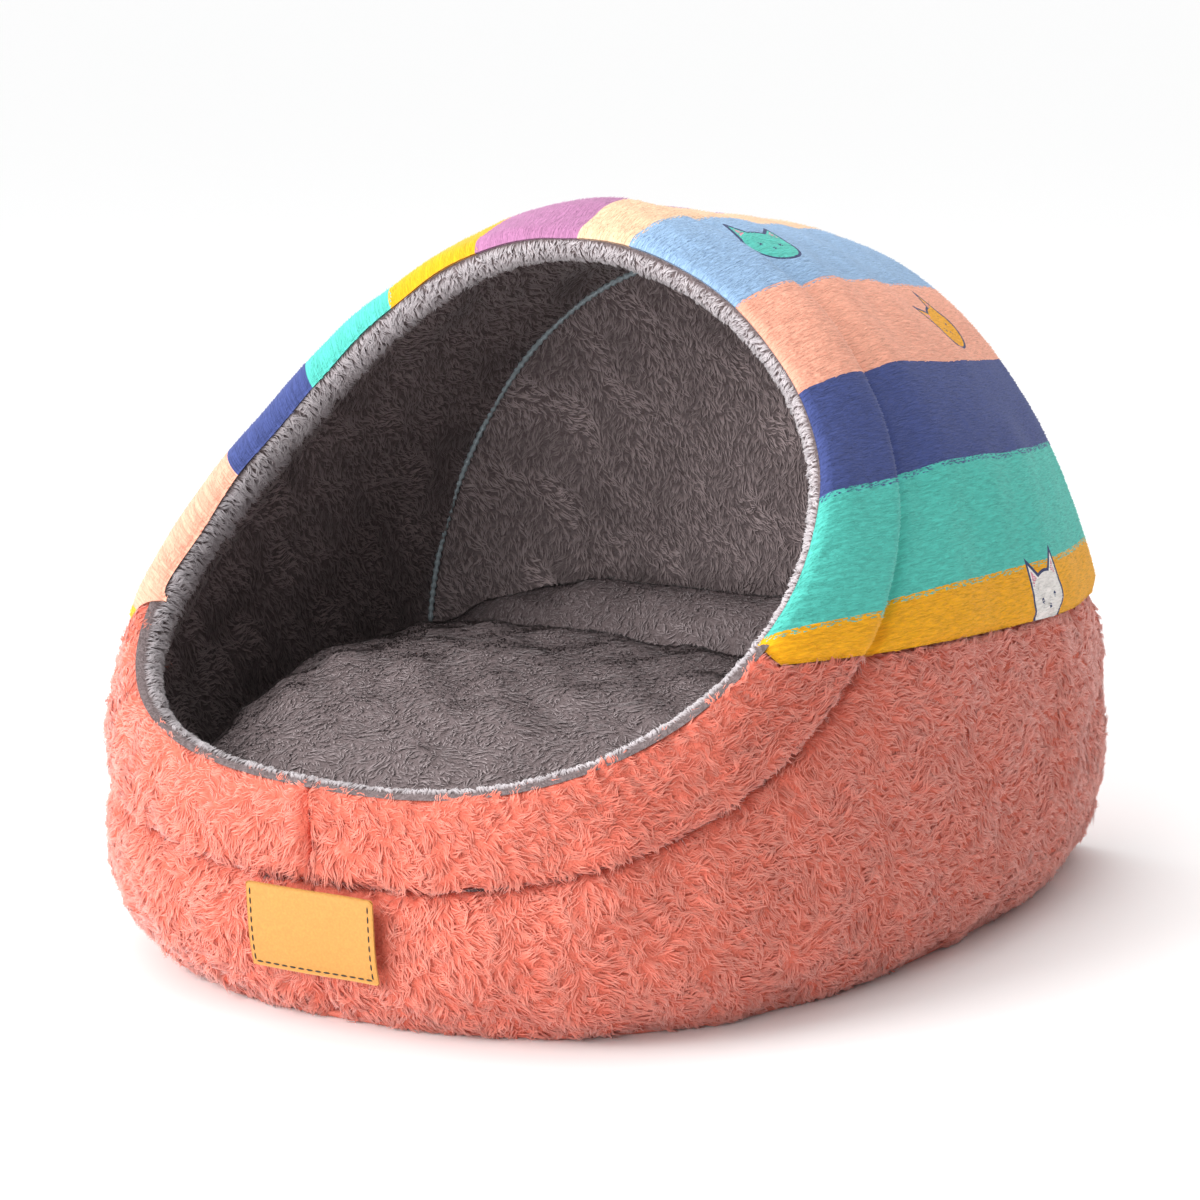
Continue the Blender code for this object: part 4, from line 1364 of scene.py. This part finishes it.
def cushion_block():
    """The plain filled shape, before it is puffed up."""
    plan = cushion_plan(120)
    middle = np.array([0.0, (CUSHION_FRONT_Y + CUSHION_BACK_Y) / 2])
    rings = []
    for scale, height in ((0.05, 0.002), (0.5, 0.002), (0.86, 0.002), (0.945, 0.008), (0.985, 0.020)):
        flat = middle + (plan - middle) * scale
        rings.append(np.column_stack([flat, np.full(len(plan), CUSHION_FLOOR + height)]))
    for scale in np.concatenate([np.linspace(1.0, 0.9, 6)[:-1], np.linspace(0.9, 0.02, 24)]):
        flat = middle + (plan - middle) * scale
        crown = (CUSHION_CROWN - CUSHION_SHRINK) * (1 - scale**6) ** 0.75
        rear = CUSHION_REAR_RISE * np.clip((flat[:, 1] - CUSHION_FRONT_Y) / 0.34, 0, 1) * (1 - scale**4)
        rings.append(np.column_stack([flat, CUSHION_SEAM_HEIGHT + crown + rear]))
    return np.stack(rings, 1)


def cushion_relief(points):
    """Drop of the cushion's top: the sewn channel across it and the creases beside it."""
    x, y = points[..., 0], points[..., 1]
    away = y - (CHANNEL_Y + CHANNEL_BEND * x * x - CHANNEL_TILT * x)
    reach = np.clip(1.2 - np.abs((x - 0.02) / CHANNEL_HALF_LENGTH) ** 3, 0, 1)
    soft = HOLLOW_DEPTH * np.exp(-(((away - 0.004) / HOLLOW_WIDTH) ** 2)) * reach
    sharp = CUT_DEPTH * np.exp(-((away / CUT_WIDTH) ** 2)) * reach
    rear = REAR_LIFT * np.clip((away - 0.005) / REAR_LENGTH, 0, 1) ** 1.5
    front = FRONT_DROP / (1 + np.exp(np.clip((away - 0.006) / FRONT_EASE, -30, 30)))
    crease = CREASE_DEPTH * np.sin(2 * math.pi * (away + 0.25 * x) / CREASE_PITCH)
    crease = crease * np.exp(-(((x + 0.105) / 0.040) ** 2))
    crease = crease * np.exp(-(((away + 0.002) / 0.030) ** 2))
    return soft + sharp + front + crease - rear


def object_arrays(mesh):
    """Points and triangles of a mesh, as arrays."""
    points = np.empty(3 * len(mesh.vertices), dtype=np.float32)
    mesh.vertices.foreach_get("co", points)
    mesh.calc_loop_triangles()
    triangles = np.empty(3 * len(mesh.loop_triangles), dtype=np.int32)
    mesh.loop_triangles.foreach_get("vertices", triangles)
    return points.reshape(-1, 3).astype(float), triangles.reshape(-1, 3)


def evaluated_mesh(obj):
    found = obj.evaluated_get(bpy.context.evaluated_depsgraph_get())
    return bpy.data.meshes.new_from_object(found)


def puffed(points, triangles):
    """The filled block after a short cloth simulation has pushed its cover out, as points and triangles."""
    mesh = bpy.data.meshes.new("filling")
    mesh.from_pydata(points.tolist(), [], triangles.tolist())
    obj = linked("filling", mesh)
    remesh = obj.modifiers.new("voxels", "REMESH")
    remesh.mode = "VOXEL"
    remesh.voxel_size = CUSHION_VOXEL
    obj.data = evaluated_mesh(obj)
    obj.modifiers.clear()
    start, _ = object_arrays(obj.data)
    cloth = obj.modifiers.new("cover", "CLOTH")
    cloth.settings.quality = 5
    cloth.settings.use_pressure = True
    cloth.settings.uniform_pressure_force = CUSHION_PRESSURE
    cloth.settings.effector_weights.gravity = 0.0
    cloth.point_cache.frame_start = 1
    cloth.point_cache.frame_end = CUSHION_FRAMES
    for number in range(1, CUSHION_FRAMES + 1):
        bpy.context.scene.frame_set(number)
    obj.data = evaluated_mesh(obj)
    obj.modifiers.clear()
    bpy.context.scene.frame_set(1)
    moved, _ = object_arrays(obj.data)
    push = moved - start
    reach = np.linalg.norm(push, axis=1, keepdims=True)
    moved = start + push * np.minimum(1, CUSHION_PUSH / np.maximum(reach, 1e-9))
    obj.data.vertices.foreach_set("co", moved.astype(np.float32).ravel())
    finer = obj.modifiers.new("finer", "SUBSURF")
    finer.levels = 1
    found = object_arrays(evaluated_mesh(obj))
    bpy.data.objects.remove(obj)
    return found


class Surface:
    """Any triangles with their smooth normals, for pile to stand on."""

    def __init__(self, points, triangles):
        self.points = points
        self.triangles = triangles
        normals = np.zeros(points.shape)
        for k in range(3):
            np.add.at(normals, triangles[:, k], facings(points, triangles))
        self.normals = unit(normals)


def cushion(ground, blades):
    block = cushion_block()
    cloth = Cloth(block, closed=True)
    rows, columns = block.shape[:2]
    caps = [np.arange(rows) * columns, np.arange(rows) * columns + columns - 1]
    fans = [np.stack([np.full(rows - 2, cap[0]), cap[1:-1], cap[2:]], -1) for cap in caps]
    triangles = np.concatenate([cloth.triangles, *fans])
    points, triangles = puffed(block.reshape(-1, 3), triangles)
    widen = np.clip((CUSHION_WIDEST_Y - points[:, 1]) / 0.10, 0, 1)
    points[:, 0] *= 1 + FRONT_WIDENING * widen
    points[:, 1] -= FRONT_REACH * np.clip((-0.08 - points[:, 1]) / 0.08, 0, 1)
    height = points[:, 2].max() - CUSHION_SEAM_HEIGHT
    share = np.clip((points[:, 2] - CUSHION_SEAM_HEIGHT) / height, 0, 1)
    points[:, 2] += height * (share**FLATTER_POWER - share)
    top = np.clip((points[:, 2] - CUSHION_SEAM_HEIGHT) / 0.03, 0, 1)
    points[:, 2] -= cushion_relief(points) * top
    surface = Surface(points, triangles)
    points = points + surface.normals * (ripples(points, CUSHION_RIPPLES) * top)[:, None]
    points[:, 2] = np.maximum(points[:, 2], CUSHION_FLOOR)
    surface = Surface(points, triangles)
    cover = mesh_object("cushion_cloth", points, triangles, ground)
    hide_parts("cushion")
    growth = {"keep": higher_than(CUSHION_PILE_FROM), "lean": steady(0.5, -1, 0)}
    fur = plush("cushion_pile", surface, CUSHION_BLADE_AREA, GREY_LOOK, blades, 800, **growth)


# Base and label


def base(ground):
    """The flat bottom cloth, just inside the walls' foot."""
    half = outer_points(np.linspace(-CORNER_TURN, CORNER_TURN, 160), np.full(160, 2.0), CORAL_SINK)
    foot = np.linspace(half[-1], half[0], 40)[1:-1]
    edge = np.vstack([half, foot])
    rings = []
    for scale, height in BASE_RINGS:
        rings.append(np.column_stack([edge[:, :2] * scale, np.full(len(edge), height)]))
    cover = cloth_object("base_cloth", Cloth(np.stack(rings, 1), closed=True), ground)
    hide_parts("base_panel")


def front_face_y(x, z):
    """Y of the front wall's outer form at a place on it."""
    return halved(np.full(np.shape(x), FRONT_Y - 0.01), np.zeros(np.shape(x)), lambda y: within(x, y, z))


def label_place(u, v, lift):
    """Points of the patch's face, from -1 to 1 across and up it, lifted off its front."""
    x = LABEL_X + u * LABEL_WIDTH / 2
    z = LABEL_Z + v * LABEL_HEIGHT / 2
    curl = 0.0011 * np.abs(u) ** 3 + 0.0005 * np.cos(3.0 * u + 1.0) + 0.0006 * np.clip(v, 0, 1) ** 2
    return np.stack([x, front_face_y(x, z) - LABEL_STANDOFF - curl - lift, z], -1)


def label(leather, thread):
    """The patch: a thin bent slab with rounded edges and corners, stitched inside three sides."""
    u, v = np.meshgrid(np.linspace(-1, 1, 45), np.linspace(-1, 1, 29))
    corner = LABEL_CORNER / np.array([LABEL_WIDTH / 2, LABEL_HEIGHT / 2])
    past_u = np.clip((np.abs(u) - 1 + corner[0]) / corner[0], 0, 1)
    past_v = np.clip((np.abs(v) - 1 + corner[1]) / corner[1], 0, 1)
    shrink = np.maximum(past_u, past_v) / np.maximum(np.hypot(past_u, past_v), 1e-9)
    shrink = np.where((past_u > 0) & (past_v > 0), shrink, 1)
    u = np.sign(u) * (np.abs(u) - (1 - shrink) * past_u * corner[0])
    v = np.sign(v) * (np.abs(v) - (1 - shrink) * past_v * corner[1])
    inset = np.minimum((1 - np.abs(u)) * LABEL_WIDTH / 2, (1 - np.abs(v)) * LABEL_HEIGHT / 2)
    rounding = np.clip(1 - inset / LABEL_ROUNDING, 0, 1) ** 2
    line = np.exp(-(((inset - LABEL_STITCH_INSET) / LABEL_ROUNDING) ** 2)) * (v < 0.93)
    front = label_place(u, v, LABEL_THICKNESS * (1 - 0.5 * rounding) - 0.0004 * line)
    back_face = label_place(u, v, 0.0)
    front_cloth = Cloth(front)
    points = np.concatenate([front.reshape(-1, 3), back_face.reshape(-1, 3)])
    size = front.shape[0] * front.shape[1]
    border = grid_border(*front.shape[:2])
    following = np.roll(border, -1)
    first = np.stack([border, following, following + size], -1)
    second = np.stack([border, following + size, border + size], -1)
    triangles = np.concatenate([front_cloth.triangles, first, second, front_cloth.triangles[:, ::-1] + size])
    patch = mesh_object("label_patch", points, triangles, leather)
    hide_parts("label")
    stitches(thread)


def stitches(thread):
    """Dashes of thread down the left, along the bottom and up the right of the patch."""
    edge_u = 1 - 2 * LABEL_STITCH_INSET / LABEL_WIDTH
    edge_v = 1 - 2 * LABEL_STITCH_INSET / LABEL_HEIGHT
    corners = np.array([(-edge_u, edge_v), (-edge_u, -edge_v), (edge_u, -edge_v), (edge_u, edge_v)])
    scale = np.array([LABEL_WIDTH / 2, LABEL_HEIGHT / 2])
    rings, faces = [], []
    for start, end in zip(corners, corners[1:]):
        length = np.linalg.norm((end - start) * scale)
        count = round(length / STITCH_PITCH)
        for number in range(count):
            share = (number + np.linspace(0.12, 0.88, STITCH_RINGS)) / count
            path = start + (end - start) * share[:, None]
            middle = label_place(path[:, 0], path[:, 1], LABEL_THICKNESS - 0.0002)
            along = unit(middle[-1] - middle[0])
            side = unit(np.cross(along, [0.0, 1.0, 0.0]))
            angle = circle(STITCH_SIDES)
            thick = STITCH_RADIUS * np.sqrt(np.clip(1.02 - np.linspace(-1, 1, STITCH_RINGS) ** 2, 0, 1))
            round_it = side * np.cos(angle)[:, None] + np.cross(side, along) * np.sin(angle)[:, None]
            ring = middle[:, None] + round_it[None] * thick[:, None, None]
            here = np.arange(STITCH_SIDES * (STITCH_RINGS - 1)).reshape(-1, STITCH_SIDES)
            here = here + STITCH_SIDES * STITCH_RINGS * len(rings)
            beside = np.roll(here, -1, 1)
            rings.append(ring.reshape(-1, 3))
            faces.append(np.stack([here, beside, beside + STITCH_SIDES], -1).reshape(-1, 3))
            faces.append(np.stack([here, beside + STITCH_SIDES, here + STITCH_SIDES], -1).reshape(-1, 3))
    sewn = mesh_object("label_stitches", np.concatenate(rings), np.concatenate(faces), thread)


# Stage

# The direction that the soft light comes least from
DARK_SIDE = (0.92, -0.15, -0.36)
FLOOR_HALF_SIZE = 60.0
LIGHTS = (
    # name, place, size, watts
    ("key", (-0.9, -1.6, 1.2), 1.0, 29.0),
    ("front", (0.15, -2.2, 0.62), 1.0, 18.0),
    ("top", (-0.3, 0.2, 1.9), 1.2, 9.0),
)


def stage():
    floor = bpy.data.meshes.new("floor")
    signs = ((-1, -1), (1, -1), (1, 1), (-1, 1))
    corners = [(x * FLOOR_HALF_SIZE, y * FLOOR_HALF_SIZE, 0) for x, y in signs]
    floor.from_pydata(corners, [], [(0, 1, 2, 3)])
    floor_object = linked("floor", floor)
    made, nodes, _ = new_material("floor_pale")
    fill_inputs(nodes["Principled BSDF"], {"Base Color": (0.90, 0.90, 0.90, 1), "Roughness": 0.9})
    floor.materials.append(made)
    floor_object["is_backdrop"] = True

    world = bpy.context.scene.world or bpy.data.worlds.new("world")
    bpy.context.scene.world = world
    world.use_nodes = True
    nodes, links = world.node_tree.nodes, world.node_tree.links
    background = nodes["Background"]
    background.inputs["Color"].default_value = (1, 1, 1, 1)
    place = nodes.new("ShaderNodeTexCoord")
    aim = nodes.new("ShaderNodeVectorMath")
    aim.operation = "DOT_PRODUCT"
    links.new(place.outputs["Generated"], aim.inputs[0])
    aim.inputs[1].default_value = DARK_SIDE
    strength = nodes.new("ShaderNodeMapRange")
    strength.interpolation_type = "SMOOTHSTEP"
    fill_inputs(strength, {"From Min": -0.45, "From Max": 0.75, "To Min": 1.35, "To Max": 0.22})
    links.new(aim.outputs["Value"], strength.inputs["Value"])
    links.new(strength.outputs["Result"], background.inputs["Strength"])

    for name, place, size, power in LIGHTS:
        light = bpy.data.lights.new(name, "AREA")
        light.size = size
        light.energy = power
        lamp = linked(name, light)
        lamp.location = place
        lamp.rotation_euler = (Vector((0, 0, 0.12)) - Vector(place)).to_track_quat("-Z", "Y").to_euler()


def camera():
    lens = bpy.data.cameras.new("camera")
    lens.lens = LENS
    lens.sensor_width = SENSOR
    lens.clip_start = 0.05
    lens.clip_end = 200
    obj = linked("camera", lens)
    obj.location = EYE
    obj.rotation_euler = (TARGET - EYE).to_track_quat("-Z", "Y").to_euler()
    bpy.context.scene.camera = obj


def main():
    coral_ground = plush_ground_material("coral_ground", CORAL_ROOT_SHADE, CORAL_MID)
    coral_blades = pile_material("coral_pile", 0.35)
    grey_ground = plush_ground_material("grey_ground", GREY_ROOT_SHADE, GREY_MID)
    grey_blades = pile_material("grey_pile", 0.20)
    velvet = pile_material("velvet_pile", 0.08)
    walls(coral_ground, coral_blades)
    roof(velvet)
    back(coral_ground, coral_blades)
    lining(grey_ground, grey_blades)
    lining_back(grey_ground, grey_blades, plain_material("seam_cord", THREAD_GREY, 0.8))
    cushion(grey_ground, grey_blades)
    base(plain_material("coral_base_cloth", CORAL_MID, 0.9))
    label(plain_material("tan_leather", TAN, 0.45), plain_material("black_thread", THREAD_BLACK))
    stage()
    camera()
    bpy.context.scene.view_settings.view_transform = "Standard"
    triangles = {o.name: sum(len(p.vertices) - 2 for p in o.data.polygons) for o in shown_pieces()}
    print("triangles", sum(triangles.values()), triangles)


main()
